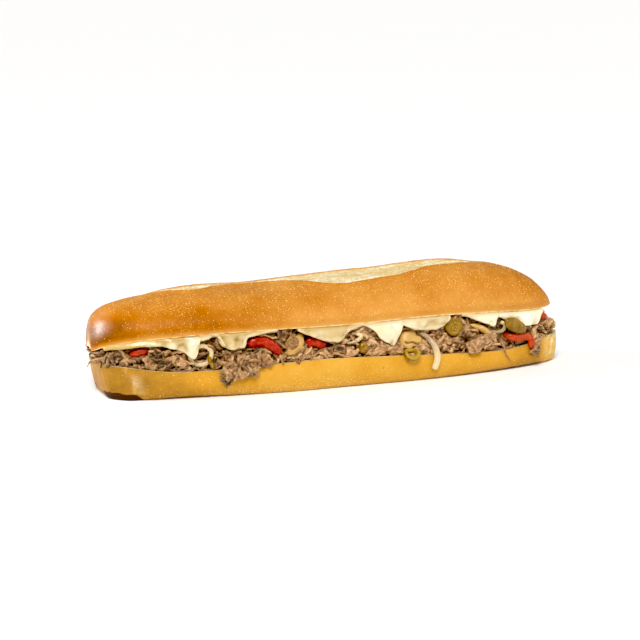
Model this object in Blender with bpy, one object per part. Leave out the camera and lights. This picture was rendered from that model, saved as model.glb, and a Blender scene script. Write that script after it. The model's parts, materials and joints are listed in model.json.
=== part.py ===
"""A foot-long submarine sandwich: a split roll, shaved steak, melted cheese and cut vegetables.

The long axis runs along X, the front faces -Y, and the underside rests on z = 0 at the origin.
Sizes are in millimetres here and become metres when a mesh is made.
"""

import math

import bmesh
import bpy
import numpy as np
from mathutils import Euler, Vector, noise
from mathutils.bvhtree import BVHTree

MM = 0.001

# The roll
ROLL_WIDTH = 77.0
HALF_WIDTH = ROLL_WIDTH / 2
TOP_END_LEFT = -153.8
TOP_END_RIGHT = 151.4
BOTTOM_END_LEFT = -152.0
BOTTOM_END_RIGHT = 155.5
PLAN_POWER = 2.5
TOP_BLUNT_POWER = 2.9
BOTTOM_BLUNT_POWER = 3.1
# Heights along the roll, as (x, z)
TOP_RIM = ((-155, 27.0), (-150, 31.2), (-145, 33.5), (-134, 35.9), (-105, 38.5), (-60, 39.6),
           (0, 39.3), (50, 40.4), (95, 39.2), (134, 36.7), (156, 36.6))
RIDGE = ((-155, 57.0), (-120, 58.8), (-90, 61.0), (-50, 60.9), (-10, 62.8), (35, 64.6), (77, 67.3),
         (103, 65.2), (118, 62.4), (128, 58.9), (137, 53.8), (144, 47.4), (148.5, 41.8), (151.4, 37.4))
BOTTOM_RIM = ((-154, 22.5), (-139, 21.2), (-115, 18.2), (-60, 18.4), (-25, 19.6), (20, 18.4), (70, 15.8),
              (115, 14.6), (140, 17.8), (156, 18.6))
# Share of the rim's half width that rests flat, as (x, share)
BASE_SHARE = ((-150, 1.0), (-138, 1.0), (-124, 0.80), (-105, 0.71), (-72, 0.80), (-35, 0.90), (0, 0.86),
              (50, 0.86), (85, 0.79), (115, 0.68), (150, 0.70))
# How far the underside has lifted towards the two ends, as (x, z)
UNDERSIDE = ((-152, 21.0), (-150, 19.6), (-148, 17.0), (-146.2, 13.0), (-145.4, 8.0), (-144.4, 3.6),
             (-142.8, 0.0), (-141, 0.0),
             (147, 0.0), (149.5, 0.0), (153.4, 2.6), (155, 7.0), (155.5, 11.0))
NOSE_POWER = 5.4
DOME_POWER = 2.3
RIM_TUCK = 1.2
CUT_HOLLOW = 1.6
TROUGH = 5.0
SIDE_BULGE = 0.9
CORNER_SHARE = 0.62
FOOT_START = -121.0
FOOT_FULL = -130.0
FOOT_HEIGHT = 4.2
FOOT_INSET = 1.2
CRUST_WAVE = 0.45
CRUST_WAVE_SPREAD = (26.0, 17.0, 17.0)
# The score along the top, as (x, y) of its two lips
SCORE_NEAR = ((-150, 4.0), (-104, 3.0), (-86, -6.0), (-72, 1.0), (-36, 0.0), (-18, -9.5), (-6, -17.0),
              (26, -16.5), (50, -14.0), (60, -10.5), (80, -8.5), (98, -2.0), (150, 0.0))
SCORE_FAR = ((-150, 6.0), (-118, 7.0), (-45, 9.0), (0, 10.0), (50, 8.0), (80, 4.0), (100, 1.0), (150, 3.0))
SCORE_START = -126.0
SCORE_END = 104.0
SCORE_FADE = 22.0
LIP_HEIGHT = 1.1
LIP_WIDTH = 2.4
SCORE_DEPTH = 0.7
STATIONS = 38
DOME_POINTS = 24
CUT_POINTS = 5
# Shares of the way from the rim down to the flat base
SIDE_STEPS = (0.0, 0.18, 0.36, 0.5, 0.66, 0.80, 0.84, 0.96)
SIDE_UPRIGHT = 0.36

# The layers
GAP = 0.4
CHEESE_THICKNESS = 1.8
LIP_INSET = 1.7
CORE_INSET = 9.0
CORE_UNDER_CHEESE = 2.9
CORE_STATIONS = 34
CORE_POINTS = 12
CORE_DENT = 0.03
CORE_LEFT = -149.0
CORE_RIGHT = 148.0

# Cheese slices: where the front and back edges hang, as (x, drop below the top half's rim)
CHEESE = {
    "a": (((-147, 2.4), (-138, 3.0), (-126, 3.4), (-117, 5.0), (-108, 8.7), (-102, 12.2), (-97.5, 15.4),
           (-94.5, 7.0)),
          ((-144, 2.6), (-134, 4.0), (-124, 8.0), (-115, 9.5), (-109, 6.0), (-104, 3.2), (-98, 3.0),
           (-94.5, 2.4))),
    "b": (((-92.5, 4.6), (-86, 3.4), (-82.5, 3.0), (-79.5, 9.6), (-73, 11.8), (-68, 10.2), (-65, 5.0),
           (-47, 2.2)),
          ((-92.5, 3.4), (-86, 8.5), (-80, 13.2), (-76, 8.0), (-70, 5.0), (-64, 4.2), (-55, 3.4),
           (-47, 2.6))),
    "c": (((-31, 3.2), (-26, 6.0), (-20, 8.4), (-13, 10.7), (-7, 11.0), (-3, 9.6), (0, 5.0), (8.4, 2.6)),
          ((-31, 2.4), (-24, 4.0), (-18, 9.6), (-12, 11.2), (-6, 10.0), (-1, 5.5), (3, 4.0), (8.4, 3.0))),
    "d": (((9.6, 2.4), (13, 3.4), (17, 7.0), (21, 12.0), (25.5, 15.4), (29.5, 17.6), (32.5, 10.0),
           (34.8, 5.0)),
          ((9.6, 3.0), (13, 5.0), (17, 6.0), (21, 5.4), (25.5, 4.2), (29, 3.2), (32.5, 3.0), (34.8, 2.6))),
    "e": (((36, 5.0), (41, 7.6), (46, 9.2), (51, 10.0), (57, 10.2), (62, 9.4), (65.4, 7.6), (66.6, 2.2)),
          ((36, 3.0), (41, 7.0), (46, 12.6), (49, 14.4), (53, 10.0), (58, 5.6), (63, 4.4), (66.6, 3.0))),
    "f": (((78.5, 2.2), (83, 3.6), (88, 6.2), (92, 7.8), (96, 9.2), (99.5, 10.2), (100.6, 6.0),
           (101.2, 2.4)),
          ((78.5, 2.6), (83, 6.4), (87, 9.4), (91, 10.4), (95, 8.8), (98, 5.4), (100, 3.4), (101.2, 2.6))),
    "g": (((102.6, 3.6), (109, 6.4), (116, 9.0), (123, 11.0), (130, 11.5), (134.5, 11.2), (136.2, 8.0),
           (136.8, 2.0)),
          ((102.6, 2.6), (108, 3.4), (114, 5.0), (120, 8.4), (125, 11.0), (130, 12.0), (134, 7.0),
           (136.8, 2.4))),
}

# Vegetable pieces that follow a path: points as (x, outset from the rim, z), then width and thickness.
# A negative outset lies inside the roll's outline, and side 1 is the back.
STRIPS = {
    "red_pepper_1": (((-134.2, -4.3, 27.4), (-129.2, -4.1, 29.2), (-123.4, -4.6, 29.8)), 5.0, 3.2, -1),
    "red_pepper_2": (((-63.4, -5.1, 30.0), (-60.6, -5.1, 32.0), (-56.4, -5.1, 32.8), (-51.6, -5.1, 31.5),
                      (-46.6, -5.1, 28.2), (-43.4, -5.1, 23.4)), 5.8, 3.6, -1),
    "red_pepper_3": (((-26.8, -5.2, 30.4), (-19.8, -4.9, 30.6), (-13.6, -5.3, 27.9)), 5.8, 3.4, -1),
    "red_pepper_4": (((108.6, -3.6, 22.8), (110.6, 0.4, 21.0), (115.6, 2.8, 20.6), (121.6, 3.1, 20.2),
                      (126.6, 3.1, 17.6), (127.8, 3.3, 13.2)), 4.8, 2.6, -1),
    "red_pepper_5": (((137.4, -3.4, 30.8), (142.4, -0.2, 30.2)), 4.8, 2.8, -1),
    "red_pepper_6": (((-64, -5.0, 29.0), (-56, -4.6, 30.6), (-48, -5.0, 28.0)), 5.4, 3.4, 1),
    "red_pepper_7": (((68, -5.0, 25.6), (76, -4.6, 27.0), (83.5, -5.2, 25.2)), 5.0, 3.2, 1),
    "green_pepper_1": (((8.6, -4.9, 26.0), (10.2, -4.4, 23.6), (11.2, -4.0, 20.9)), 4.4, 2.8, -1),
    "green_pepper_2": (((-87.9, -4.4, 26.0), (-87.3, -1.2, 22.6), (-86.3, 2.3, 18.6)), 2.6, 2.0, -1),
    "onion_2": (((51.6, -4.4, 30.2), (54.0, -2.4, 26.9), (56.3, 0.9, 23.0), (57.6, 2.8, 18.4),
                 (57.9, 3.2, 13.4), (55.8, 3.2, 7.4)), 4.2, 1.8, -1),
    "onion_3": (((-0.2, -5.2, 27.4), (3.7, -5.0, 28.2), (7.3, -4.8, 30.0), (8.7, -5.0, 32.3),
                 (6.2, -5.3, 33.7)), 2.4, 1.8, -1),
    "onion_4": (((98.5, -5.2, 27.4), (103.5, -5.0, 26.4), (107.8, -4.9, 27.6), (108.6, -5.0, 30.2),
                 (106.0, -5.2, 32.0)), 2.4, 1.8, -1),
    "onion_5": (((6, -5.2, 26.0), (13, -4.2, 24.2), (18, -0.4, 21.0), (19.5, 2.8, 15.6),
                 (18, 3.2, 9.0)), 4.0, 1.8, 1),
    "mushroom_3": (((84.7, -4.6, 33.6), (91.9, -4.4, 30.2), (97.6, -3.9, 25.4), (100.6, -1.2, 20.6)),
                   1.9, 3.2, -1),
}
STRIP_STEPS = 7
STRIP_SIDES = 6

# Vegetable rings: centre as (x, outset, z), turn in degrees, middle radius, radial width, thickness and side
RINGS = {
    "onion_1": ((-92.6, -5.7, 26.1), (6, 0, -8), 6.1, 2.5, 2.0, -1),
    "green_pepper_3": ((40.9, 2.5, 19.2), (-34, 0, 0), 4.0, 2.6, 3.0, -1),
    "green_pepper_6": ((-8.0, -5.4, 25.4), (6, 0, 0), 5.0, 3.0, 3.0, 1),
    "onion_6": ((112.0, -5.4, 24.4), (0, 0, -14), 5.6, 2.5, 2.0, 1),
}
RING_STEPS = 14

# Solid slices: centre as (x, outset, z), turn in degrees and side
GREEN_DISC = ((72.3, -4.8, 32.0), (0, 14, 8), -1)
DISC_RADIUS = 6.2
DISC_RIM = 3.6
DISC_WEB = 1.6
GREEN_CAP = ((113.7, 3.6, 29.9), (0, 22, 15), -1)
CAP_RADII = (8.4, 3.3, 4.8)
MUSHROOMS = {
    "mushroom_1": ((-34.0, -5.6, 28.8), (0, 130, 0), 8.2, 11.0, 3.2, -1),
    "mushroom_2": ((42.2, -5.8, 25.9), (4, -76, 4), 6.0, 16.6, 3.0, -1),
    "mushroom_4": ((50.0, -5.6, 26.6), (0, 40, -4), 8.0, 12.0, 3.0, 1),
}

# Steak shavings that hang or stick out, as paths of (x, outset, z), then width
HANGING = (
    (((-79, -12.5, 26), (-79.5, -3.4, 24.6), (-80.5, 2.6, 21.2), (-81.5, 3.7, 15), (-82.5, 3.6, 8.5)), 7.0),
    (((-72, -12.5, 26), (-72.5, -3.4, 24.6), (-74, 2.8, 21.4), (-75, 4.3, 15.5), (-75, 3.9, 9.5)), 10.0),
    (((-66, -12.5, 26), (-66, -3.4, 24.6), (-67, 2.6, 21.4), (-67, 3.8, 17.2), (-66.5, 3.6, 13.0)), 8.0),
    (((-52, -12.5, 21.5), (-52, -5.8, 22.5), (-52.5, -2.4, 24.5), (-53.5, -1.6, 28.0)), 9.0),
    (((88, -12.5, 26), (89, -4.6, 25.6), (90.5, 0.8, 22.0), (92.5, 2.9, 18.0), (93, 3.2, 14.4)), 13.0),
    (((104, -12.5, 20.5), (104.5, -4.2, 19.4), (105.2, 1.8, 17.4), (107.6, 3, 12.4), (111.5, 3, 6.2)), 2.4),
    (((132, -12.5, 21.6), (133, -4.4, 22.0), (134, 2.4, 21.6), (134, 5.0, 15.0), (133.5, 4.8, 9.0)), 4.6),
)
HANGING_FOLD = 0.3
# Shavings that stick out at the two ends, as plain (x, y, z) points, then width
END_SHREDS = (
    (((-138, -4, 25.4), (-148, -5, 25.8), (-154, -4.2, 24.2), (-158.6, -5.6, 20.4)), 3.4),
    (((-138, 4, 26.0), (-147, 5, 26.2), (-153.5, 5.4, 25.2)), 6.0),
    (((138, -8, 27.0), (147, -9, 26.8), (153, -8, 24.0), (155.5, -7.4, 20.0)), 8.0),
    (((136, 2, 27.4), (147, 2, 27.6), (154, 0.5, 25.4), (158.4, -1.0, 22.0)), 9.0),
    (((136, -5, 23.6), (147, -5.5, 23.6), (155, -4.0, 21.6), (157.6, -3.0, 18.4)), 7.0),
    (((138, 8, 25.0), (147, 9, 25.4), (153.6, 9.4, 23.6)), 7.0),
)
SHAVING_THICKNESS = 2.0
SHAVING_LENGTH = 20.0
SHAVING_ROWS = 4
SHAVING_COLUMNS = 3
# Rows of shavings, as side, share of the gap between the rims, width and spacing
SHAVING_LEVELS = ((-1, 0.17, 5.5, 21.0), (-1, 0.45, 9.0, 19.0), (-1, 0.72, 8.0, 33.0), (1, 0.42, 10.0, 24.0))
SHAVING_OUTSET = -6.3
SHAVING_DIG = 18.0
SHAVING_TRIES = 8
SHAVING_FOLD = (0.7, 1.5)
SMALLER = (1.0, 0.9, 0.8, 0.7, 0.6)
CLEARANCE = 0.35
WELD = 0.002
SEED = 12


def along(knots, x):
    """The value at x of a smooth curve through the knots."""
    places = [knot[0] for knot in knots]
    values = [knot[1] for knot in knots]
    x = min(max(x, places[0]), places[-1])
    slopes = np.gradient(values, places)
    index = min(int(np.searchsorted(places, x, side="right")) - 1, len(knots) - 2)
    span = places[index + 1] - places[index]
    t = (x - places[index]) / span
    start = (1 + 2 * t) * (1 - t) ** 2 * values[index] + t * (1 - t) ** 2 * span * slopes[index]
    end = t * t * (3 - 2 * t) * values[index + 1] - t * t * (1 - t) * span * slopes[index + 1]
    return start + end


def ease(low, high, value):
    """Rises smoothly from 0 at low to 1 at high."""
    t = min(max((value - low) / (high - low), 0.0), 1.0)
    return t * t * (3 - 2 * t)


def shrink(x, end, power):
    """How a superellipse of this power closes towards its end, from 1 to 0."""
    return max(0.0, 1 - abs(x / end) ** power) ** (1 / power)


def top_half_width(x):
    if x < 0:
        return HALF_WIDTH * shrink(x, TOP_END_LEFT, TOP_BLUNT_POWER)
    return HALF_WIDTH * shrink(x, TOP_END_RIGHT, PLAN_POWER)


def bottom_half_width(x):
    if x < 0:
        return HALF_WIDTH * shrink(x, BOTTOM_END_LEFT, BOTTOM_BLUNT_POWER)
    return HALF_WIDTH * shrink(x, BOTTOM_END_RIGHT, PLAN_POWER)


def rim_half_width(x):
    """Half the width of the filling's opening at x."""
    return top_half_width(max(min(x, TOP_END_RIGHT - 1), TOP_END_LEFT + 1))


def top_cut(x, y):
    """The height of the top half's cut face."""
    share = min(1.0, abs(y) / max(top_half_width(x), 1.0))
    return along(TOP_RIM, x) + CUT_HOLLOW * (1 - share * share)


def bottom_cut(x, y):
    """The height of the bottom half's cut face."""
    width = bottom_half_width(x)
    share = min(1.0, abs(y) / max(width, 1.0))
    return along(BOTTOM_RIM, x) - TROUGH * min(1.0, width / HALF_WIDTH) * (1 - share * share)


def score_relief(x, y):
    """The height that the score adds to the crust: two raised lips and a shallow bed between them."""
    opening = ease(SCORE_START, SCORE_START + SCORE_FADE, x)
    closing = ease(SCORE_END - SCORE_FADE, SCORE_END, x)
    near = along(SCORE_NEAR, x)
    far = along(SCORE_FAR, x)
    lips = math.exp(-(((y - near + 1) / LIP_WIDTH) ** 2)) + math.exp(-(((y - far - 1) / LIP_WIDTH) ** 2))
    bed = ease(near, near + 2, y) * (1 - ease(far - 2, far, y))
    return opening * (1 - closing) * (LIP_HEIGHT * lips - SCORE_DEPTH * bed)


def crust_wave(x, y, z):
    spread = CRUST_WAVE_SPREAD
    return CRUST_WAVE * noise.noise(Vector((x / spread[0], y / spread[1], z / spread[2])))


def stations(left, right, count):
    """Places along x, closer together towards both ends, without the two ends themselves."""
    middle, half = (left + right) / 2, (right - left) / 2
    return [middle + half * math.sin(math.pi * (i / count - 0.5)) for i in range(1, count)]


def top_outline(x):
    """The closed section of the top half at x: over the dome from front to back, then along the cut."""
    width, rim = top_half_width(x), along(TOP_RIM, x)
    height = max(along(RIDGE, x) - rim, 0.6)
    if x < 0:
        height *= shrink(x, TOP_END_LEFT, NOSE_POWER)
    points = []
    for i in range(DOME_POINTS + 1):
        angle = math.pi * i / DOME_POINTS
        side, rise = -math.cos(angle), math.sin(angle)
        y = width * math.copysign(abs(side) ** (2 / DOME_POWER), side)
        z = rim + height * rise ** (2 / DOME_POWER)
        tuck = RIM_TUCK * min(1.0, width / 10) * (1 - ease(0, 6, z - rim))
        y -= math.copysign(min(tuck, abs(y)), y)
        fade = ease(0, 12, z - rim) * min(1.0, width / 12)
        z += fade * (score_relief(x, y) + crust_wave(x, y, z))
        points.append((x, y, z))
    back, front = points[-1], points[0]
    for i in range(1, CUT_POINTS + 1):
        y = back[1] + (front[1] - back[1]) * i / (CUT_POINTS + 1)
        points.append((x, y, top_cut(x, y)))
    return points


def end_lift(x):
    """How far the underside has risen towards the roll's ends."""
    return max(0.0, along(UNDERSIDE, x))


def side_point(x, step, side):
    """A point on the bottom half's outside, from the rim at step 0 to the flat base at step 1."""
    width, rim, lift = bottom_half_width(x), along(BOTTOM_RIM, x), end_lift(x)
    base = width * along(BASE_SHARE, x)
    corner = lift + (rim - lift) * CORNER_SHARE
    if step <= SIDE_UPRIGHT:
        share = step / SIDE_UPRIGHT
        y = width + SIDE_BULGE * math.sin(math.pi * share) * min(1.0, width / 12)
        z = rim + (corner - rim) * share
    else:
        angle = math.pi / 2 * (1 - (step - SIDE_UPRIGHT) / (1 - SIDE_UPRIGHT))
        y = base + (width - base) * math.sin(angle)
        z = lift + (corner - lift) * (1 - math.cos(angle))
    foot = ease(FOOT_START, FOOT_FULL, x) if x < 0 else 0.0
    under = 1 - ease(FOOT_HEIGHT - 1.6, FOOT_HEIGHT, z - lift)
    y -= foot * under * FOOT_INSET * min(1.0, width / 14)
    return (x, side * max(y, 0.0), z)


def bottom_outline(x):
    """The closed section of the bottom half at x: the cut from back to front, then round the outside."""
    width = bottom_half_width(x)
    points = []
    for i in range(1, CUT_POINTS + 1):
        y = width * (1 - 2 * i / (CUT_POINTS + 1))
        points.append((x, y, bottom_cut(x, y)))
    points += [side_point(x, step, -1) for step in SIDE_STEPS]
    base = abs(side_point(x, 1.0, -1)[1])
    points += [(x, y, end_lift(x)) for y in (-base, -base / 3, base / 3, base)]
    points += [side_point(x, step, 1) for step in reversed(SIDE_STEPS)]
    return points


def loft(rings, start, end):
    """A closed mesh through rings of equal length, drawn together to a point at each end."""
    count = len(rings[0])
    points = [start] + [point for ring in rings for point in ring] + [end]
    faces = []
    for j in range(count):
        following = (j + 1) % count
        faces.append((0, 1 + j, 1 + following))
        for i in range(len(rings) - 1):
            near, far = 1 + i * count, 1 + (i + 1) * count
            faces.append((near + j, far + j, far + following, near + following))
        last = 1 + (len(rings) - 1) * count
        faces.append((last + j, len(points) - 1, last + following))
    return points, faces


def tube(rings, closed):
    """A closed mesh through rings of equal length, joined end to end or capped with flat faces."""
    count = len(rings[0])
    points = [point for ring in rings for point in ring]
    faces = []
    for i in range(len(rings) if closed else len(rings) - 1):
        near, far = i * count, (i + 1) % len(rings) * count
        for j in range(count):
            following = (j + 1) % count
            faces.append((near + j, far + j, far + following, near + following))
    if not closed:
        faces.append(tuple(range(count)))
        faces.append(tuple(reversed(range(len(points) - count, len(points)))))
    return points, faces


def sheet(middle, thickness):
    """A thin closed solid round a grid of points, with both faces split into triangles alike."""
    rows, columns = middle.shape[:2]
    down = np.gradient(middle, axis=0)
    across = np.gradient(middle, axis=1)
    normal = np.cross(down, across)
    normal /= np.maximum(np.linalg.norm(normal, axis=2, keepdims=True), 1e-9)
    points = np.concatenate([(middle + normal * thickness / 2).reshape(-1, 3),
                             (middle - normal * thickness / 2).reshape(-1, 3)])
    under = rows * columns
    faces = []
    for i in range(rows - 1):
        for j in range(columns - 1):
            a, b = i * columns + j, (i + 1) * columns + j
            for triangle in ((a, b, b + 1), (a, b + 1, a + 1)):
                faces.append(triangle)
                faces.append(tuple(under + index for index in reversed(triangle)))
    edge = [j for j in range(columns)]
    edge += [i * columns + columns - 1 for i in range(1, rows)]
    edge += [(rows - 1) * columns + j for j in range(columns - 2, -1, -1)]
    edge += [i * columns for i in range(rows - 2, 0, -1)]
    for here, there in zip(edge, edge[1:] + edge[:1]):
        faces.append((here, there, under + there, under + here))
    return points, faces


def smooth_path(points, steps):
    """Evenly numbered points on a smooth curve through the given ones."""
    points = np.array(points, float)
    slopes = np.gradient(points, axis=0)
    path = []
    for t in np.linspace(0, len(points) - 1, steps):
        i = min(int(t), len(points) - 2)
        s = t - i
        start = (1 + 2 * s) * (1 - s) ** 2 * points[i] + s * (1 - s) ** 2 * slopes[i]
        end = s * s * (3 - 2 * s) * points[i + 1] - s * s * (1 - s) * slopes[i + 1]
        path.append(start + end)
    return np.array(path)


def bar(path, outward, width, thickness, closed, sides=STRIP_SIDES, taper=0.62):
    """A bar with a rounded section along a path, its flat face turned outward."""
    tangents = np.gradient(path, axis=0)
    if closed:
        tangents = np.roll(path, -1, axis=0) - np.roll(path, 1, axis=0)
    rings = []
    for i, (point, tangent) in enumerate(zip(path, tangents)):
        tangent = tangent / np.linalg.norm(tangent)
        cross = np.cross(tangent, outward)
        cross /= np.linalg.norm(cross)
        facing = np.cross(cross, tangent)
        at_end = not closed and i in (0, len(path) - 1)
        scale = taper if at_end else 1.0
        ring = []
        for j in range(sides):
            angle = 2 * math.pi * (j + 0.5) / sides
            a, b = math.cos(angle), math.sin(angle)
            a = math.copysign(abs(a) ** 0.7, a) * width / 2 * scale
            b = math.copysign(abs(b) ** 0.7, b) * thickness / 2 * scale
            ring.append(tuple(point + cross * a + facing * b))
        rings.append(ring)
    return tube(rings, closed)


def placed(point, side):
    """Turns (x, outset from the rim, z) into (x, y, z) on the front, side -1, or the back, side 1."""
    x, outset, z = point
    return (x, side * (rim_half_width(x) + outset), z)


def material(name, colour, roughness):
    made = bpy.data.materials.new(name)
    made.use_nodes = True
    shader = made.node_tree.nodes["Principled BSDF"]
    shader.inputs["Base Color"].default_value = (*colour, 1.0)
    shader.inputs["Roughness"].default_value = roughness
    shader.inputs["Metallic"].default_value = 0.0
    made.diffuse_color = (*colour, 1.0)
    return made


def add_object(name, shape, finish, origin=(0, 0, 0), location=None, turn=(0, 0, 0), parent=None):
    """Makes an object of a shape in millimetres, drawn round origin and placed at location."""
    points, faces = shape
    mesh = bpy.data.meshes.new(name)
    local = (np.array(points, float) - np.array(origin, float)) * MM
    mesh.from_pydata([tuple(point) for point in local], [], faces)
    made = bmesh.new()
    made.from_mesh(mesh)
    bmesh.ops.recalc_face_normals(made, faces=made.faces)
    bmesh.ops.triangulate(made, faces=[face for face in made.faces if len(face.verts) > 4])
    made.to_mesh(mesh)
    made.free()
    mesh.shade_smooth()
    mesh.set_sharp_from_angle(angle=math.radians(50))
    mesh.materials.append(finish)
    obj = bpy.data.objects.new(name, mesh)
    bpy.context.scene.collection.objects.link(obj)
    obj.location = Vector(origin if location is None else location) * MM
    obj.rotation_euler = Euler([math.radians(angle) for angle in turn])
    obj.parent = parent
    return obj


def make_roll(parent):
    """Both halves of the roll, each drawn round the middle of its cut face."""
    crust = material("golden_crust", (0.62, 0.29, 0.07), 0.45)
    for name, outline, left, right, rim in (
        ("roll_top", top_outline, TOP_END_LEFT, TOP_END_RIGHT, TOP_RIM),
        ("roll_bottom", bottom_outline, BOTTOM_END_LEFT, BOTTOM_END_RIGHT, BOTTOM_RIM),
    ):
        rings = [outline(x) for x in stations(left, right, STATIONS)]
        tips = []
        for ring, x in ((rings[0], left), (rings[-1], right)):
            tips.append((x, 0.0, sum(point[2] for point in ring) / len(ring)))
        add_object(name, loft(rings, *tips), crust, origin=(0, 0, along(rim, 0)), parent=parent)


def cheese_column(x, front_drop, back_drop):
    """The middle line of a slice at x, from its front edge over the filling to its back edge."""
    rim = along(TOP_RIM, x)
    edge = rim_half_width(x) - LIP_INSET
    under = GAP + CHEESE_THICKNESS / 2
    column = []
    for share in (1.0, 0.55):
        column.append((x, -edge + 0.5 * (1 - share), rim - under - (front_drop - 2) * share))
    column.append((x, -edge + 0.9, rim - under - 0.5))
    for share in (0.78, 0.0, -0.78):
        y = -edge * share
        column.append((x, y, top_cut(x, y) - under))
    column.append((x, edge - 0.9, rim - under - 0.5))
    for share in (0.55, 1.0):
        column.append((x, edge - 0.5 * (1 - share), rim - under - (back_drop - 2) * share))
    return column


def make_cheese(parent):
    finish = material("white_cheese", (0.86, 0.78, 0.52), 0.4)
    made = []
    for name, (front, back) in CHEESE.items():
        columns = []
        for (front_x, front_drop), (back_x, back_drop) in zip(front, back):
            column = np.array(cheese_column(front_x, front_drop, back_drop))
            far = np.array(cheese_column(back_x, front_drop, back_drop))
            share = np.linspace(0, 1, len(column))[:, None]
            columns.append(column * (1 - share) + far * share)
        middle = np.array(columns)
        centre = middle.reshape(-1, 3).mean(axis=0)
        shape = sheet(middle, CHEESE_THICKNESS)
        made.append(add_object("cheese_" + name, shape, finish, origin=centre, parent=parent))
    return made


def mushroom_outline(radius, height):
    """The outline of an upright slice through a cap and its stem, in x and z."""
    stem = radius * 0.5
    cap = height * 0.6
    points = []
    for i in range(11):
        angle = math.pi * i / 10
        points.append((radius * math.cos(angle), height / 2 - cap + cap * math.sin(angle)))
    left = [(-radius * 0.9, height / 2 - cap - 1.0), (-stem * 1.25, height / 2 - cap - 1.4),
            (-stem, -height / 2 + 1.0), (-stem * 0.6, -height / 2)]
    return points + left + [(-x, z) for x, z in reversed(left)]


def slab(outline, thickness):
    """A flat slice of an outline drawn in x and z."""
    rings = [[(x, y, z) for x, z in outline] for y in (-thickness / 2, thickness / 2)]
    return tube(rings, closed=False)


def turned(profile, steps):
    """A closed solid turned about the local Y axis from (radius, y) points that start and end on it."""
    rings = []
    for radius, y in profile[1:-1]:
        angles = [2 * math.pi * i / steps for i in range(steps)]
        rings.append([(radius * math.cos(angle), y, radius * math.sin(angle)) for angle in angles])
    return loft(rings, (0, profile[0][1], 0), (0, profile[-1][1], 0))


def make_vegetables(parent):
    finishes = {
        "red": material("red_pepper", (0.55, 0.03, 0.015), 0.25),
        "green": material("green_pepper", (0.30, 0.22, 0.02), 0.3),
        "onion": material("cooked_onion", (0.66, 0.50, 0.26), 0.35),
        "mushroom": material("cooked_mushroom", (0.60, 0.40, 0.16), 0.4),
    }
    made = []

    def finish_of(name):
        return finishes[name.split("_")[0]]

    for name, (points, width, thickness, side) in STRIPS.items():
        path = smooth_path([placed(point, side) for point in points], STRIP_STEPS)
        shape = bar(path, (0, side, 0), width, thickness, closed=False)
        middle = path.mean(axis=0)
        made.append(add_object(name, shape, finish_of(name), origin=middle, parent=parent))

    for name, (centre, turn, radius, width, thickness, side) in RINGS.items():
        angles = np.linspace(0, 2 * math.pi, RING_STEPS, endpoint=False)
        path = np.stack([radius * np.cos(angles), 0 * angles, radius * np.sin(angles)], axis=1)
        shape = bar(path, (0, -1, 0), width, thickness, closed=True)
        where = placed(centre, side)
        made.append(add_object(name, shape, finish_of(name), location=where, turn=turn, parent=parent))

    for name, (centre, turn, radius, height, thickness, side) in MUSHROOMS.items():
        shape = slab(mushroom_outline(radius, height), thickness)
        where = placed(centre, side)
        made.append(add_object(name, shape, finish_of(name), location=where, turn=turn, parent=parent))

    centre, turn, side = GREEN_DISC
    rim, web = DISC_RIM / 2, DISC_WEB / 2
    profile = ((0, -web), (DISC_RADIUS * 0.55, -web), (DISC_RADIUS * 0.7, -rim), (DISC_RADIUS * 0.93, -rim),
               (DISC_RADIUS, 0), (DISC_RADIUS * 0.93, rim), (DISC_RADIUS * 0.7, rim),
               (DISC_RADIUS * 0.55, web), (0, web))
    where = placed(centre, side)
    made.append(add_object("green_pepper_4", turned(profile, RING_STEPS), finish_of("green"), location=where,
                           turn=turn, parent=parent))

    centre, turn, side = GREEN_CAP
    steps = 8
    profile = [(math.sin(math.pi * i / steps), -math.cos(math.pi * i / steps)) for i in range(steps + 1)]
    points, faces = turned(profile, RING_STEPS)
    points = [tuple(value * radius for value, radius in zip(point, CAP_RADII)) for point in points]
    where = placed(centre, side)
    made.append(add_object("green_pepper_5", (points, faces), finish_of("green"), location=where, turn=turn,
                           parent=parent))
    return made


def core_shape():
    """The steak's bare core, between the bottom half's cut face and the cheese."""
    rings = []
    for x in stations(CORE_LEFT, CORE_RIGHT, CORE_STATIONS):
        half = max(rim_half_width(x) - CORE_INSET, 2.0)
        ring = []
        for i in range(CORE_POINTS):
            angle = 2 * math.pi * (i + 0.5) / CORE_POINTS
            side, rise = math.cos(angle), math.sin(angle)
            y = half * math.copysign(abs(side) ** 0.6, side)
            low = bottom_cut(x, y) + GAP
            high = top_cut(x, y) - CORE_UNDER_CHEESE
            share = 0.5 + 0.5 * math.copysign(abs(rise) ** 0.6, rise)
            inset = 0.5 + 0.5 * noise.noise(Vector((x / 9, y / 9, 7 * share)))
            ring.append((x, y * (1 - CORE_DENT * inset), low + (high - low) * share))
        rings.append(ring)
    tips = []
    for ring, x in ((rings[0], CORE_LEFT), (rings[-1], CORE_RIGHT)):
        tips.append((x, 0.0, sum(point[2] for point in ring) / len(ring)))
    return loft(rings, *tips)


def crumpled(path, across, width, rng, fold, thickness=SHAVING_THICKNESS):
    """A shaving of steak: a sheet along a path, with a ragged outline and crumpled folds."""
    tangent = np.gradient(path, axis=0)
    tangent /= np.linalg.norm(tangent, axis=1, keepdims=True)
    across = np.array(across, float)
    across = across / np.linalg.norm(across)
    normal = np.cross(tangent, across)
    normal /= np.linalg.norm(normal, axis=1, keepdims=True)
    phase = rng.uniform(0, 2 * math.pi, 2)
    grid = []
    for j in range(SHAVING_COLUMNS):
        share = j / (SHAVING_COLUMNS - 1) - 0.5
        ragged = rng.uniform(0.7, 1.1, len(path))[:, None]
        wave = np.sin(phase[0] + np.arange(len(path)) * 1.7 + 2.4 * share) + np.sin(phase[1] + 5 * share)
        grid.append(path + across * share * width * ragged + normal * wave[:, None] * fold * 0.5)
    return sheet(np.array(grid), thickness)


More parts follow.
